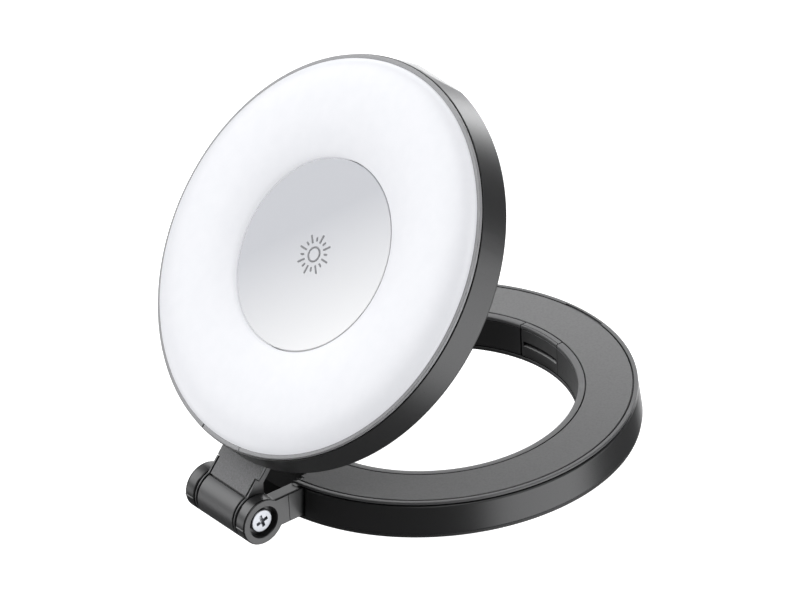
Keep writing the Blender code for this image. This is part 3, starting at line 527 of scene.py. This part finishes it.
def silver(name):
    """Satin anodised silver with a very fine grain, and painted light: a broad soft change of tone across the
    disc, darker towards its top and far side.
    """
    look = Look(name)
    grain = look.noise(11.0, 4.0, 0.7)
    axes = look.add("ShaderNodeSeparateXYZ", {"Vector": look.place})
    across = HEAD @ Vector((HEAD_U, 0, 0))
    painted_light_rise = look.math("SUBTRACT", axes.outputs["Z"], across.z)
    painted_light_side = look.math("MULTIPLY", axes.outputs["Y"], 0.75)
    run = look.math("ADD", look.math("MULTIPLY", painted_light_rise, 0.9), painted_light_side)
    # Painted light: the colour runs from 0.62 to 0.36 across the disc, standing in for light that falls off
    # across its flat face.
    place = look.ramp(run, -0.011, 0.011)
    tone = look.mix(place, (0.62, 0.62, 0.62, 1), (0.36, 0.365, 0.385, 1))
    speck = look.ramp(grain, 0.3, 0.7, 0.0, 0.08)
    tone = look.mix(speck, tone, (0.6, 0.6, 0.62, 1))
    look.set(
        Base_Color=tone,
        Metallic=0.35,
        Roughness=look.ramp(grain, 0.3, 0.7, 0.42, 0.5),
        Normal=look.bump(grain, 0.002, 0.3),
    )
    return look.material


def board(name, colour, track):
    """A circuit board's lacquer with faint tracks."""
    look = Look(name)
    lines = look.noise(0.9, 1.0, 0.4, (1, 3, 1))
    grain = look.noise(9.0, 3.0)
    tone = look.mix(look.ramp(lines, 0.49, 0.51), (*colour, 1), (*track, 1))
    tone = look.mix(look.ramp(grain, 0.3, 0.7, 0.0, 0.15), tone, (*[c * 0.7 for c in colour], 1))
    look.set(
        Base_Color=tone,
        Roughness=look.ramp(grain, 0.3, 0.7, 0.35, 0.5),
        Normal=look.bump(lines, 0.02, 0.4),
    )
    return look.material


GLOW = 0.63

LOOKS = {
    "graphite_plastic": moulded("graphite_plastic", 0.028, 0.3, 9.0, 0.006),
    "shell_painted_notch_shade": shell_painted_notch_shade("shell_painted_notch_shade", 0.02, 0.3, 9.0, 0.006),
    "lid_plastic": moulded("lid_plastic", 0.075, 0.4, 9.0, 0.006),
    "barrel_plastic": moulded("barrel_plastic", 0.045, 0.36, 9.0, 0.004),
    "plate_plastic": moulded("plate_plastic", 0.13, 0.55, 4.0, 0.06, speck=0.5),
    "pad_leatherette": leatherette("pad_leatherette"),
    "cover_plastic": moulded("cover_plastic", 0.02, 0.55, 7.0, 0.008),
    "bezel_plastic": moulded("bezel_plastic", 0.27, 0.45, 10.0, 0.003, wear=1.2, gaps=False),
    "milky_diffuser": milky("milky_diffuser"),
    "silver_disc": silver("silver_disc"),
    "symbol_print": moulded("symbol_print", 0.2, 0.5, 10.0, 0.002, (0.98, 0.99, 1.04), 1.0, False),
    "screw_steel": metal("screw_steel", (0.37, 0.38, 0.4), 0.4, (1, 1, 1), 5.0),
    "ring_steel": metal("ring_steel", (0.45, 0.45, 0.46), 0.4, (1, 6, 1), 3.0),
    "magnet_nickel": metal("magnet_nickel", (0.66, 0.64, 0.6), 0.2),
    "washer_polymer": moulded("washer_polymer", 0.2, 0.5, 7.0, 0.004),
    "white_plastic": moulded("white_plastic", 0.8, 0.5, 7.0, 0.004, (1.0, 1.0, 0.99), 1.1),
    "board_white": board("board_white", (0.78, 0.8, 0.78), (0.7, 0.72, 0.7)),
    "board_green": board("board_green", (0.03, 0.2, 0.08), (0.05, 0.3, 0.12)),
    "electrode_copper": metal("electrode_copper", (0.8, 0.42, 0.27), 0.3, (1, 8, 1), 2.0),
    "battery_foil": metal("battery_foil", (0.6, 0.6, 0.62), 0.35, (1, 1, 1), 2.0, 0.01, 0.6),
    "battery_foam": moulded("battery_foam", 0.03, 0.9, 5.0, 0.05),
    "lead_red": moulded("lead_red", 0.6, 0.45, 6.0, 0.003, (1.0, 0.06, 0.05), 1.1),
    "lead_black": moulded("lead_black", 0.02, 0.45, 6.0, 0.003),
}


# ---------------------------------------------------------------- base pieces

def notch(margin=0.0, corner=1.2, top=7.0):
    """The pocket for the folded arm, with round inner corners, as a cutter."""
    half = NOTCH_HALF + margin
    outline = filleted(
        [
            (-34.0, -half),
            (NOTCH_END + margin, -half, corner),
            (NOTCH_END + margin, half, corner),
            (-34.0, half),
        ],
        8,
    )
    return prism(outline, NOTCH_FLOOR, top)


def mouth_corner(ring_r, side, margin=0.0, radius=0.8):
    """Cutter that rounds the corner between the notch and a ring's outer edge."""
    half = NOTCH_HALF + margin
    across = half + radius
    edge = -math.sqrt(ring_r**2 - across**2) - 0.06
    outline = [(edge - 2.0, half - 0.1), (edge + radius, half - 0.1)]
    for k in range(9):
        turn = math.radians(90 + 90 * k / 8)
        outline.append((edge + radius * (1 + math.cos(turn)), across - radius * (1 - math.sin(turn))))
    outline.append((edge - 2.0, across))
    return prism([(x, y * side) for x, y in outline], 5.2, 7.0)


def arm_outline():
    """Side view of an ear and its arm: (x, z), with concave fillets where the ear meets the arm."""
    radius = BARREL_RADIUS
    out = [(-28.6, 0.95), (-28.6, SHELL_TOP - 0.01), (-29.7, SHELL_TOP - 0.01), (-29.78, ARM_TOP)]
    top_fillet = 0.7
    rise = ARM_TOP + top_fillet - HINGE_Z
    run = math.sqrt((radius + top_fillet) ** 2 - rise**2)
    top_angle = math.atan2(rise, run)
    centre = (HINGE_X + run, ARM_TOP + top_fillet)
    for k in range(9):
        turn = math.radians(-90) - (math.radians(90) - top_angle) * k / 8
        out.append((centre[0] + top_fillet * math.cos(turn), centre[1] + top_fillet * math.sin(turn)))
    foot_fillet = 0.3
    drop = HINGE_Z - (ARM_FOOT - foot_fillet)
    run = math.sqrt((radius + foot_fillet) ** 2 - drop**2)
    foot_angle = 2 * math.pi - math.atan2(drop, run)
    arc_steps = 144
    for k in range(1, arc_steps + 1):
        turn = top_angle + (foot_angle - top_angle) * k / arc_steps
        flash = FLASH_HEIGHT * max(0.0, 1 - abs(math.degrees(turn) - FLASH_ANGLE) / 2.4)
        reach = radius + flash
        out.append((HINGE_X + reach * math.cos(turn), HINGE_Z + reach * math.sin(turn)))
    centre = (HINGE_X + run, ARM_FOOT - foot_fillet)
    start = math.pi - (2 * math.pi - foot_angle)
    for k in range(1, 6):
        turn = start + (math.pi / 2 - start) * k / 5
        out.append((centre[0] + foot_fillet * math.cos(turn), centre[1] + foot_fillet * math.sin(turn)))
    out += [(-29.35, ARM_FOOT), (-29.35, 0.95)]
    return out


def ear_and_arm(side):
    return facing_y(prism(arm_outline(), EAR_IN, EAR_FACE, 0.18, 4), side)


def ear_bore(side):
    """Counterbore with a small lead-in, and the through hole."""
    face = EAR_FACE
    outline = [
        (0.0, EAR_IN - 1.0),
        (1.15, EAR_IN - 1.0),
        (1.15, face - BORE_DEPTH),
        (BORE_R, face - BORE_DEPTH),
        (BORE_R, face - 0.1),
        (BORE_R + 0.1, face),
        (BORE_R + 0.6, face + 0.5),
        (0.0, face + 0.5),
    ]
    return moved(facing_y(turned(outline, 64), side), (HINGE_X, 0, HINGE_Z))


def arm_seams(side):
    """Grooves on an arm: the line under its top edge, and the upright line at its crease."""
    out = EAR_FACE * side
    low, high = sorted((out - 0.16 * side, out + 1.0 * side))
    top_line = brick((-34.2, low, 5.08), (-29.78, high, 5.22))
    low, high = sorted((out - 0.08 * side, out + 1.0 * side))
    crease = brick((-31.87, low, 0.0), (-31.76, high, 5.1))
    return [top_line, crease]


def ear_line(side):
    """The fine groove that runs round an ear just behind its face."""
    profile = [(BARREL_RADIUS - 0.09, 6.82), (4.4, 6.82), (4.4, 6.93), (BARREL_RADIUS - 0.09, 6.93)]
    return moved(facing_y(turned(profile, 96, 62.0, 195.0), side), (HINGE_X, 0, HINGE_Z))


def arm_root(side):
    """The small upright relief where an arm meets the ring's wall."""
    low, high = sorted((EAR_FACE * side, (EAR_FACE + 0.6) * side))
    return brick((-29.9, low, 0.3), (-28.9, high, SHELL_TOP - 0.02))


def base_shell():
    walls = filleted(
        [
            (HOLE_R, WALL_FOOT, 0.2),
            (FOOT_R, WALL_FOOT, 0.12),
            (LIP_R, SHELL_TOP, 0.34),
            (28.9, SHELL_TOP, 0.05),
            (28.9, 1.6, 0.1),
            (22.0, 1.6, 0.1),
            (22.0, SHELL_TOP, 0.05),
            (HOLE_TOP_R, SHELL_TOP, 0.06),
        ]
    )
    block = [(21.5, 1.2), (29.5, 1.2), (29.5, 4.1), (21.5, 4.1)]
    joins = [turned(block, 16, 165.0, 30.0)]
    cuts = []
    for side in (-1, 1):
        joins.append(ear_and_arm(side))
        cuts.append(ear_bore(side))
        cuts += arm_seams(side) + [ear_line(side), arm_root(side)]
    cuts.append(notch())
    cuts.append(brick((18.0, insert_low.y - 0.1, insert_low.z - 0.1), (32.0, insert_high.y + 0.1, 7.0)))
    cuts.append(brick((18.0, insert_low.y - 0.1, 0.0), (21.95, insert_high.y + 0.1, insert_low.z)))
    bm = shaped(turned(walls, RING_STEPS), joins, cuts)
    piece("shell_body", bm, BASE, LOOKS["shell_painted_notch_shade"], "base", "graphite_plastic", "base_shell")


def top_frame():
    """The lid: a web between the walls, and lips over them with a groove round the pad."""
    rim = filleted(
        [
            (22.1, 4.2),
            (28.8, 4.2),
            (28.8, 5.24),
            (29.55, 5.24),
            (29.55, 5.46),
            (LIP_R, 5.46, 0.05),
            (LIP_R, LID_TOP, 0.12),
            (PAD_GAP_OUT, LID_TOP, 0.05),
            (PAD_GAP_OUT, 5.3),
            (PAD_GAP_IN, 5.3),
            (PAD_GAP_IN, LID_TOP - 0.01, 0.05),
            (HOLE_TOP_R + 0.02, LID_TOP - 0.05, 0.16),
            (HOLE_TOP_R + 0.02, 5.28, 0.03),
            (22.1, 5.28),
        ]
    )
    grooves = []
    for low, high, floor in ((21.6, 21.68, LID_TOP - 0.17), (29.3, 29.72, LID_TOP - 0.26)):
        start = math.degrees(math.asin(insert_low.y / low))
        end = math.degrees(math.asin(insert_high.y / low))
        profile = [(low, floor), (high, floor), (high, 6.5), (low, 6.5)]
        grooves.append(turned(profile, 24, start, end - start))
    seams = []
    for y in (insert_low.y, insert_high.y):
        seams.append(brick((20.0, y - 0.09, 5.0), (22.2, y + 0.09, 7.0)))
    corners = [mouth_corner(LIP_R, side) for side in (-1, 1)]
    bm = shaped(turned(rim, RING_STEPS), (), [notch()] + grooves + seams + corners)
    piece("lid_body", bm, BASE, LOOKS["lid_plastic"], "base", "graphite_plastic", "base_top_frame")


def pad_relief(point):
    """Very shallow unevenness of the soft pad's face."""
    return 0.012 * noise.noise(point * 0.45) + 0.006 * noise.noise(point * 1.7)


def phone_pad():
    """The soft ring pad: rounded edges and a slightly uneven face."""
    low, high = pad_low.z - 0.04, PAD_TOP
    inner, outer = PAD_GAP_IN + 0.18, PAD_GAP_OUT - 0.22
    corners = [(outer, low, 0.05), (outer, high, 0.16)]
    spans = 26
    for k in range(1, spans):
        corners.append((outer + (inner - outer) * k / spans, high))
    corners += [(inner, high, 0.12), (inner, low, 0.05)]
    cuts = [notch(0.12, 1.3)] + [mouth_corner(outer, side, 0.12) for side in (-1, 1)]
    bm = shaped(turned(filleted(corners, 5), 480), (), cuts)
    bm.normal_update()
    for vert in bm.verts:
        if vert.co.z > high - WELD:
            vert.co.z += pad_relief(vert.co) - 0.012
    piece("pad_body", bm, BASE, LOOKS["pad_leatherette"], "base", "pad_leatherette", "phone_pad")


def bottom_cover():
    outline = filleted(
        [
            (HOLE_R - 0.1, 0.0, 0.06),
            (23.0, 0.0),
            (23.1, 0.08),
            (28.0, 0.08),
            (28.1, 0.0),
            (FOOT_R - 0.16, 0.0, 0.1),
            (FOOT_R - 0.12, 0.56, 0.04),
            (HOLE_R - 0.1, 0.56, 0.14),
        ]
    )
    bm = turned(outline, RING_STEPS)
    piece("cover_body", bm, BASE, LOOKS["cover_plastic"], "base", "cover_plastic", "bottom_cover")


def slot_insert():
    """The insert opposite the hinge, with a stepped slot that has a sloping lower lip."""
    outline = filleted(
        [
            (HOLE_R, WALL_FOOT, 0.2),
            (21.9, WALL_FOOT),
            (21.9, 1.95),
            (22.7, 1.95),
            (22.7, 2.5),
            (28.9, 2.5),
            (28.9, 1.95),
            (RING_R + 0.3, 1.95, 0.08),
            (LIP_R, SHELL_TOP, 0.34),
            (28.9, SHELL_TOP),
            (28.9, 4.1),
            (22.0, 4.1),
            (22.0, SHELL_TOP),
            (HOLE_TOP_R, SHELL_TOP, 0.06),
        ]
    )
    keep = brick((18.0, insert_low.y - 0.02, 0.0), (32.0, insert_high.y - 0.2, 7.0))
    slot = [(20.8, 2.14), (21.6, 2.72), (22.3, 2.78), (22.3, 3.22), (20.8, 3.22)]
    start, end = -5.7, 14.0
    slot_cut = turned(slot, 16, start, end - start)
    bm = shaped(turned(outline, 48, -12.0, 36.0), (), [slot_cut], [keep])
    piece("insert_body", bm, BASE, LOOKS["graphite_plastic"], "base", "graphite_plastic", "slot_insert")


# ---------------------------------------------------------------- hinge pieces

def pan_screw(head_r, head_h, shank_r, shank_l, steps=48):
    """A cross-headed screw on Z with its head's underside at 0, a domed head and a threaded shank."""
    outline = [(0.0, -shank_l), (shank_r * 0.6, -shank_l)]
    pitch = shank_r * 0.42
    threads = max(3, int(shank_l / pitch) - 1)
    for k in range(threads):
        z = -shank_l + pitch * (k + 0.5)
        outline += [(shank_r * 0.8, z), (shank_r, z + pitch * 0.5)]
    outline += [(shank_r * 0.85, -0.05), (shank_r * 0.85, 0.0), (head_r * 0.97, 0.0)]
    side = (head_r, 0.0)
    shoulder = (head_r, head_h, head_h * 0.3)
    crown = [(head_r * 0.5, head_h + 0.02), (0.0, head_h + 0.03)]
    outline += filleted([side, shoulder] + crown, 5)[1:]
    reach, half = head_r * 0.56, head_r * 0.15
    cuts = []
    for angle in (0, 90):
        bar = brick((-reach, -half, head_h * 0.25), (reach, half, head_h + 1.0))
        bmesh.ops.rotate(bar, matrix=Matrix.Rotation(math.radians(angle), 3, "Z"), verts=bar.verts)
        cuts.append(bar)
    return shaped(turned(outline, steps), (), cuts)


def hinge_screws():
    head_h = 0.75
    for label, side in (("right", -1), ("left", 1)):
        bm = pan_screw(1.83, head_h, 0.95, 4.0)
        twist = Matrix.Rotation(math.radians(16 if side < 0 else 35), 4, "Z")
        bm.transform(twist)
        seat = (screw_high.y - head_h) * side
        bm.transform(Matrix.Rotation(-side * math.pi / 2, 4, "X"))
        bm.transform(Matrix.Translation((HINGE_X, seat, HINGE_Z)))
        name = f"hinge_screw_{label}"
        piece(name + "_body", bm, BASE, LOOKS["screw_steel"], "base", "screw_steel", name)


def washers():
    for label, side in (("right", -1), ("left", 1)):
        outline = filleted(
            [
                (1.62, washer_low.y, 0.05),
                (2.4, washer_low.y, 0.08),
                (2.4, washer_high.y, 0.08),
                (1.62, washer_high.y, 0.05),
            ],
            3,
        )
        bm = moved(facing_y(turned(outline, 64), side), (HINGE_X, 0, HINGE_Z))
        name = f"hinge_washer_{label}"
        piece(name + "_body", bm, BASE, LOOKS["washer_polymer"], "base", "washer_polymer", name)


def barrel():
    """The knuckle's outline about the hinge axis: (radius, y), with a groove behind each cheek."""
    r = BARREL_RADIUS
    half = [
        (PIN_R, 4.4),
        (WASHER_POCKET_R, 4.4),
        (WASHER_POCKET_R, ARM_HALF, 0.05),
        (r, ARM_HALF, 0.12),
        (r, CHEEK_GROOVE_OUT, 0.05),
        (GROOVE_R, CHEEK_GROOVE_OUT),
        (GROOVE_R, CHEEK_GROOVE_IN),
        (r, CHEEK_GROOVE_IN, 0.1),
    ]
    corners = half + [(c[0], -c[1]) + tuple(c[2:]) for c in reversed(half)]
    return facing_y(turned(filleted(corners, 4), 128))


def arm_end(start, low, high):
    """The part of the arm from u = start to its round-cornered end, between two heights."""
    end, half = TONGUE_END, ARM_HALF
    corners = [(start, -half), (end, -half, 2.0), (end, half, 2.0), (start, half)]
    return prism(filleted(corners, 10), low, high, 0.08, 2)


def cylinder(radius, low, high, steps=64):
    """The outline of a plain cylinder, turned about Z."""
    return turned([(0.0, low), (radius, low), (radius, high), (0.0, high)], steps)


def hinge_arm():
    neck = [(0.6, 0.2), (3.3, 0.2), (5.0, 1.6), (5.3, 1.6), (5.3, 3.0), (0.6, 3.0)]
    joins = [facing_y(prism(neck, -ARM_HALF, ARM_HALF, 0.06, 2))]
    joins.append(arm_end(NECK_END, 1.6, TONGUE_TOP))
    joins.append(arm_end(7.9, 1.9, 3.4))
    cuts = [
        brick((1.8, -CHEEK_GROOVE_OUT, 2.5), (7.9, CHEEK_GROOVE_OUT, 5.0)),
        brick((NECK_END, -6.0, 2.5), (7.9, 6.0, 5.0)),
        facing_y(cylinder(PIN_R, -6.0, 6.0)),
    ]
    for side in (-1, 1):
        low, high = sorted((side * 4.4, side * 6.0))
        cuts.append(facing_y(cylinder(WASHER_POCKET_R, low, high)))
        low, high = sorted((side * CHEEK_GROOVE_IN, side * CHEEK_GROOVE_OUT))
        groove = [(GROOVE_R, low), (4.4, low), (4.4, high), (GROOVE_R, high)]
        cuts.append(facing_y(turned(groove, 96)))
        screw_place = (ARM_SCREW_U, side * ARM_SCREW_Y, 0)
        cuts.append(moved(cylinder(0.7, 0.5, 4.5, 32), screw_place))
        cuts.append(moved(turned([(0.0, 0.5), (1.3, 0.5), (1.25, 2.3), (0.0, 2.3)], 48), screw_place))
    bm = shaped(barrel(), joins, cuts)
    piece("arm_body", bm, HEAD, LOOKS["barrel_plastic"], "head", "barrel_plastic", "hinge_arm")


def arm_front_plate():
    """The grained plate over the arm's front, wider beside the head than between the cheeks."""
    half = [
        (2.08, CHEEK_GROOVE_IN, 0.1),
        (4.98, CHEEK_GROOVE_IN, 0.05),
        (5.0, ARM_HALF, 0.15),
        (7.6, ARM_HALF, 0.2),
    ]
    corners = [(u, -y, radius) for u, y, radius in half] + half[::-1]
    bm = prism(filleted(corners, 4), 2.56, 3.02, 0.07, 3)
    piece("front_plate_body", bm, HEAD, LOOKS["plate_plastic"], "head", "graphite_plastic", "arm_front_plate")


def arm_screws():
    for label, side in (("right", -1), ("left", 1)):
        bm = pan_screw(1.12, 0.5, 0.6, 2.75, 40)
        bm.transform(Matrix.Rotation(math.pi, 4, "X"))
        bm.transform(Matrix.Translation((ARM_SCREW_U, side * ARM_SCREW_Y, 2.2)))
        name = f"arm_screw_{label}"
        piece(name + "_body", bm, HEAD, LOOKS["screw_steel"], "head", "screw_steel", name)


# ---------------------------------------------------------------- lamp head pieces

HEAD_STEPS = 288
BOARD_SCREW_R = 24.8
LAMP = HEAD @ Matrix.Translation((HEAD_U, 0, 0))


def head_housing():
    outline = filleted(
        [
            (0.0, 3.6),
            (HOUSING_R + 0.5, 3.62, 0.42),
            (HOUSING_R - 0.08, 8.38, 0.06),
            (29.4, 8.35, 0.05),
            (29.4, 4.5, 0.3),
            (0.0, 4.5),
        ]
    )
    flat = PORT_FLAT + 0.47
    cuts = [brick((flat, -20.0, 0.0), (36.0, 20.0, 12.0))]
    joins = []
    for side in (-1, 1):
        boss_place = (ARM_SCREW_U - HEAD_U, side * ARM_SCREW_Y, 0)
        joins.append(moved(cylinder(1.2, 4.2, 5.5, 32), boss_place))
        cuts.append(moved(cylinder(0.7, 3.0, 5.1, 32), boss_place))
    for degrees in (60, 180, 300):
        spot = Matrix.Rotation(math.radians(degrees), 3, "Z") @ Vector((BOARD_SCREW_R, 0, 0))
        joins.append(moved(cylinder(1.4, 4.2, 5.5, 32), spot))
        cuts.append(moved(cylinder(0.6, 4.6, 6.5, 24), spot))
    bm = shaped(turned(outline, HEAD_STEPS), joins, cuts)
    look = LOOKS["graphite_plastic"]
    housing = piece("housing_body", bm, LAMP, look, "head", "graphite_plastic", "head_housing")
    back = LAMP.inverted()
    on_flat = [abs((back @ v.co).x - flat) < 0.01 for v in housing.data.vertices]
    sharp = housing.data.attributes["sharp_edge"].data
    for edge in housing.data.edges:
        if all(on_flat[i] for i in edge.vertices):
            sharp[edge.index].value = True


def tick(degrees, width, depth=0.2):
    """A short radial cut across the bezel."""
    low = (BEZEL_R - 1.2, -width / 2, bezel_high.z - depth)
    bar = brick(low, (BEZEL_R + 0.5, width / 2, bezel_high.z + 0.5))
    bmesh.ops.rotate(bar, matrix=Matrix.Rotation(math.radians(degrees), 3, "Z"), verts=bar.verts)
    return bar


def bezel():
    outline = filleted(
        [
            (29.9, bezel_low.z),
            (BEZEL_R, bezel_low.z, 0.08),
            (BEZEL_R, bezel_high.z, 0.14),
            (29.9, bezel_high.z, 0.05),
        ],
        4,
    )
    ticks = [tick(180 - 8.2, 0.3, 0.35), tick(180 + 8.2, 0.14, 0.35), tick(108, 0.12)]
    bm = shaped(turned(outline, HEAD_STEPS), (), ticks)
    piece("bezel_body", bm, LAMP, LOOKS["bezel_plastic"], "head", "bezel_plastic", "bezel_ring")


def dome(share):
    """The diffuser's rise over the bezel at a share of the way from its outer to its inner edge."""
    crest, inner_edge, crest_share = 1.9, 1.08, 0.5
    if share < crest_share:
        return crest * math.sqrt(1 - (1 - share / crest_share) ** 2.6)
    fall = (share - crest_share) / (1 - crest_share)
    return crest - (crest - inner_edge) * fall**2


def diffuser():
    outer_r, inner_r, wall = 29.87, DISC_R + 0.13, 1.0
    width = outer_r - inner_r
    top = bezel_high.z
    spans = 40
    outline = [(outer_r, bezel_low.z)]
    for k in range(spans + 1):
        share = (k / spans) ** 1.6
        outline.append((outer_r - width * share, top + dome(share)))
    edge = outline.pop()
    outline.append((inner_r + 0.12, edge[1] - 0.02))
    outline += [(inner_r + 0.03, edge[1] - 0.08), (inner_r, edge[1] - 0.2)]
    outline += [(inner_r, 7.6), (inner_r + wall, 7.6)]
    for k in range(12):
        share = 0.9 - 0.78 * k / 11
        outline.append((outer_r - width * share, top + dome(share) - wall))
    outline += [(28.2, 7.4), (29.2, 7.4), (29.2, bezel_low.z)]
    mouth = brick((22.6, -4.67, 0.0), (29.5, 4.67, 8.1))
    bm = shaped(turned(outline, HEAD_STEPS), (), [mouth])
    piece("diffuser_body", bm, LAMP, LOOKS["milky_diffuser"], "head", "milky_diffuser", "diffuser")


def touch_disc():
    top = disc_high.z
    outline = filleted(
        [
            (0.0, disc_low.z),
            (DISC_R, disc_low.z, 0.08),
            (DISC_R, top, 0.14),
            (DISC_R * 0.6, top - 0.01),
            (0.0, top - 0.02),
        ],
        5,
    )
    piece("disc_body", turned(outline, 192), LAMP, LOOKS["silver_disc"], "head", "silver_disc", "touch_disc")


def sun_symbol():
    """The plain brightness symbol: a ring and sixteen rays, printed slightly proud of the disc."""
    top = disc_high.z - 0.02
    stroke = 0.15
    ring_mid, thick = 1.07, 0.035
    outline = filleted(
        [
            (ring_mid - stroke, top),
            (ring_mid + stroke, top),
            (ring_mid + stroke, top + thick, 0.02),
            (ring_mid - stroke, top + thick, 0.02),
        ],
        2,
    )
    parts = [turned(outline, 64)]
    for k in range(16):
        start, end = (1.75, 3.15) if k % 2 == 0 else (1.9, 2.62)
        capsule = filleted(
            [
                (start, -stroke, stroke * 0.98),
                (end, -stroke, stroke * 0.98),
                (end, stroke, stroke * 0.98),
                (start, stroke, stroke * 0.98),
            ],
            4,
        )
        ray = prism(capsule, top, top + thick)
        turn = Matrix.Rotation(math.radians(22.5 * k), 3, "Z")
        bmesh.ops.rotate(ray, matrix=turn, verts=ray.verts)
        parts.append(ray)
    piece("touch_symbol", merged(*parts), LAMP, LOOKS["symbol_print"], "head", "silver_disc")


def dress_inner_parts():
    """Procedural finishes for the CAD parts that keep their own shape, by their material slot."""
    for obj in frame["nodes"].values():
        slot = obj.data.materials[0].name.split(".")[0]
        obj.data.materials.clear()
        obj.data.materials.append(LOOKS[slot])


# ---------------------------------------------------------------- studio

VIEW_AZIMUTH = math.radians(-35.27)
VIEW_ELEVATION = math.radians(32.14)
VIEW_ROLL = math.radians(-4.0)
LENS_MM = 1250.0
SENSOR_MM = 36.0
VIEW_DISTANCE = 4.053
AIM_RIGHT = 5.02 * MM
AIM_UP = 18.25 * MM


def add_camera():
    sin_a, cos_a = math.sin(VIEW_AZIMUTH), math.cos(VIEW_AZIMUTH)
    sin_e, cos_e = math.sin(VIEW_ELEVATION), math.cos(VIEW_ELEVATION)
    back = Vector((sin_a * cos_e, -cos_a * cos_e, sin_e))
    right = Vector((0, 0, 1)).cross(back).normalized()
    up = back.cross(right)
    turn = Matrix.Rotation(VIEW_ROLL, 3, back)
    right, up = turn @ right, turn @ up
    aim = RING - right * AIM_RIGHT + up * AIM_UP
    data = bpy.data.cameras.new("camera")
    data.lens = LENS_MM
    data.sensor_width = SENSOR_MM
    data.clip_start = 0.5
    data.clip_end = 20.0
    camera = bpy.data.objects.new("camera", data)
    rotation = Matrix((right, up, back)).transposed().to_4x4()
    camera.matrix_world = Matrix.Translation(aim + back * VIEW_DISTANCE) @ rotation
    bpy.context.scene.collection.objects.link(camera)
    bpy.context.scene.camera = camera


# Soft panels of the studio: name, azimuth, elevation, half width, half height (degrees), strength.
AMBIENT = 0.08
PANELS = [
    ("front_low", -68.0, -21.0, 31.0, 24.0, 3.2),
    ("front_side", -34.0, -5.0, 9.0, 8.0, 2.6),
    ("back_left", 122.0, 34.0, 28.0, 22.0, 4.4),
    ("back_left_low", 132.0, -10.0, 20.0, 12.0, 2.1),
    ("back_right", 52.0, 30.0, 30.0, 24.0, 2.3),
    ("right_edge", 21.0, -2.0, 8.0, 10.0, 10.5),
    ("right_low", 46.0, -20.0, 14.0, 12.0, 2.6),
    ("back_low", 86.0, -32.0, 22.0, 10.0, 0.2),
    ("front_high", -90.0, 52.0, 50.0, 16.0, 2.0),
    ("overhead", 0.0, 90.0, 180.0, 20.0, 0.8),
]
PANEL_SOFTNESS = 7.0


def add_world():
    """A white backdrop for the camera, and soft panels on a dim surround for everything else."""
    world = bpy.data.worlds.new("studio")
    world.use_nodes = True
    tree = world.node_tree
    nodes, links = tree.nodes, tree.links
    background = nodes["Background"]
    output = nodes["World Output"]

    def math_node(operation, a, b=None, clamp=False):
        node = nodes.new("ShaderNodeMath")
        node.operation = operation
        node.use_clamp = clamp
        for socket, value in zip(node.inputs, (a, b)):
            if isinstance(value, bpy.types.NodeSocket):
                links.new(value, socket)
            elif value is not None:
                socket.default_value = value
        return node.outputs[0]

    direction = nodes.new("ShaderNodeTexCoord").outputs["Generated"]
    axes = nodes.new("ShaderNodeSeparateXYZ")
    links.new(direction, axes.inputs["Vector"])
    x, y, z = (axes.outputs[k] for k in "XYZ")
    elevation = math_node("ARCSINE", z)
    total = None
    def faded(half_size, away):
        """1 inside a panel's half size and 0 outside it, with a soft edge."""
        soft = math.radians(PANEL_SOFTNESS)
        inside = math_node("SUBTRACT", math.radians(half_size) + soft, away)
        return math_node("DIVIDE", inside, 2 * soft, True)

    for _, azimuth, height, half_width, half_height, strength in PANELS:
        away = math_node("ABSOLUTE", math_node("SUBTRACT", elevation, math.radians(height)))
        share = faded(half_height, away)
        if half_width < 180:
            cos_t, sin_t = math.cos(math.radians(azimuth)), math.sin(math.radians(azimuth))
            ahead = math_node("ADD", math_node("MULTIPLY", x, cos_t), math_node("MULTIPLY", y, sin_t))
            aside = math_node("SUBTRACT", math_node("MULTIPLY", y, cos_t), math_node("MULTIPLY", x, sin_t))
            angle = math_node("ABSOLUTE", math_node("ARCTAN2", aside, ahead))
            share = math_node("MULTIPLY", share, faded(half_width, angle))
        lit = math_node("MULTIPLY", share, strength)
        total = lit if total is None else math_node("ADD", total, lit)
    total = math_node("ADD", total, AMBIENT)
    links.new(total, background.inputs["Strength"])
    background.inputs["Color"].default_value = (0.985, 0.99, 1.0, 1.0)
    white = nodes.new("ShaderNodeBackground")
    white.inputs["Color"].default_value = (1.0, 1.0, 1.0, 1.0)
    seen = nodes.new("ShaderNodeLightPath").outputs["Is Camera Ray"]
    chooser = nodes.new("ShaderNodeMixShader")
    links.new(seen, chooser.inputs[0])
    links.new(background.outputs[0], chooser.inputs[1])
    links.new(white.outputs[0], chooser.inputs[2])
    links.new(chooser.outputs[0], output.inputs["Surface"])
    bpy.context.scene.world = world
    bpy.context.scene.view_settings.view_transform = "Standard"


def add_floor():
    """A plain pale floor, just below the lamp's face when the head is folded right back past the ring."""
    look = Look("floor")
    look.set(Base_Color=(0.5, 0.5, 0.5, 1), Roughness=0.9, Emission_Color=(1, 1, 1, 1), Emission_Strength=1.0)
    bm = bmesh.new()
    bmesh.ops.create_grid(bm, x_segments=8, y_segments=8, size=3.0)
    mesh = bpy.data.meshes.new("floor")
    bm.to_mesh(mesh)
    bm.free()
    mesh.materials.append(look.material)
    floor = bpy.data.objects.new("floor", mesh)
    floor.location = (0, 0, HINGE.z - (bezel_high.z + 2.2) * MM)
    bpy.context.scene.collection.objects.link(floor)
    for ray in ("visible_diffuse", "visible_glossy", "visible_transmission", "visible_shadow"):
        setattr(floor, ray, False)


# ---------------------------------------------------------------- assembly

def build():
    dress_inner_parts()
    base_shell()
    top_frame()
    phone_pad()
    bottom_cover()
    slot_insert()
    hinge_screws()
    washers()
    hinge_arm()
    arm_front_plate()
    arm_screws()
    head_housing()
    bezel()
    diffuser()
    touch_disc()
    sun_symbol()
    add_floor()
    add_world()
    add_camera()


build()
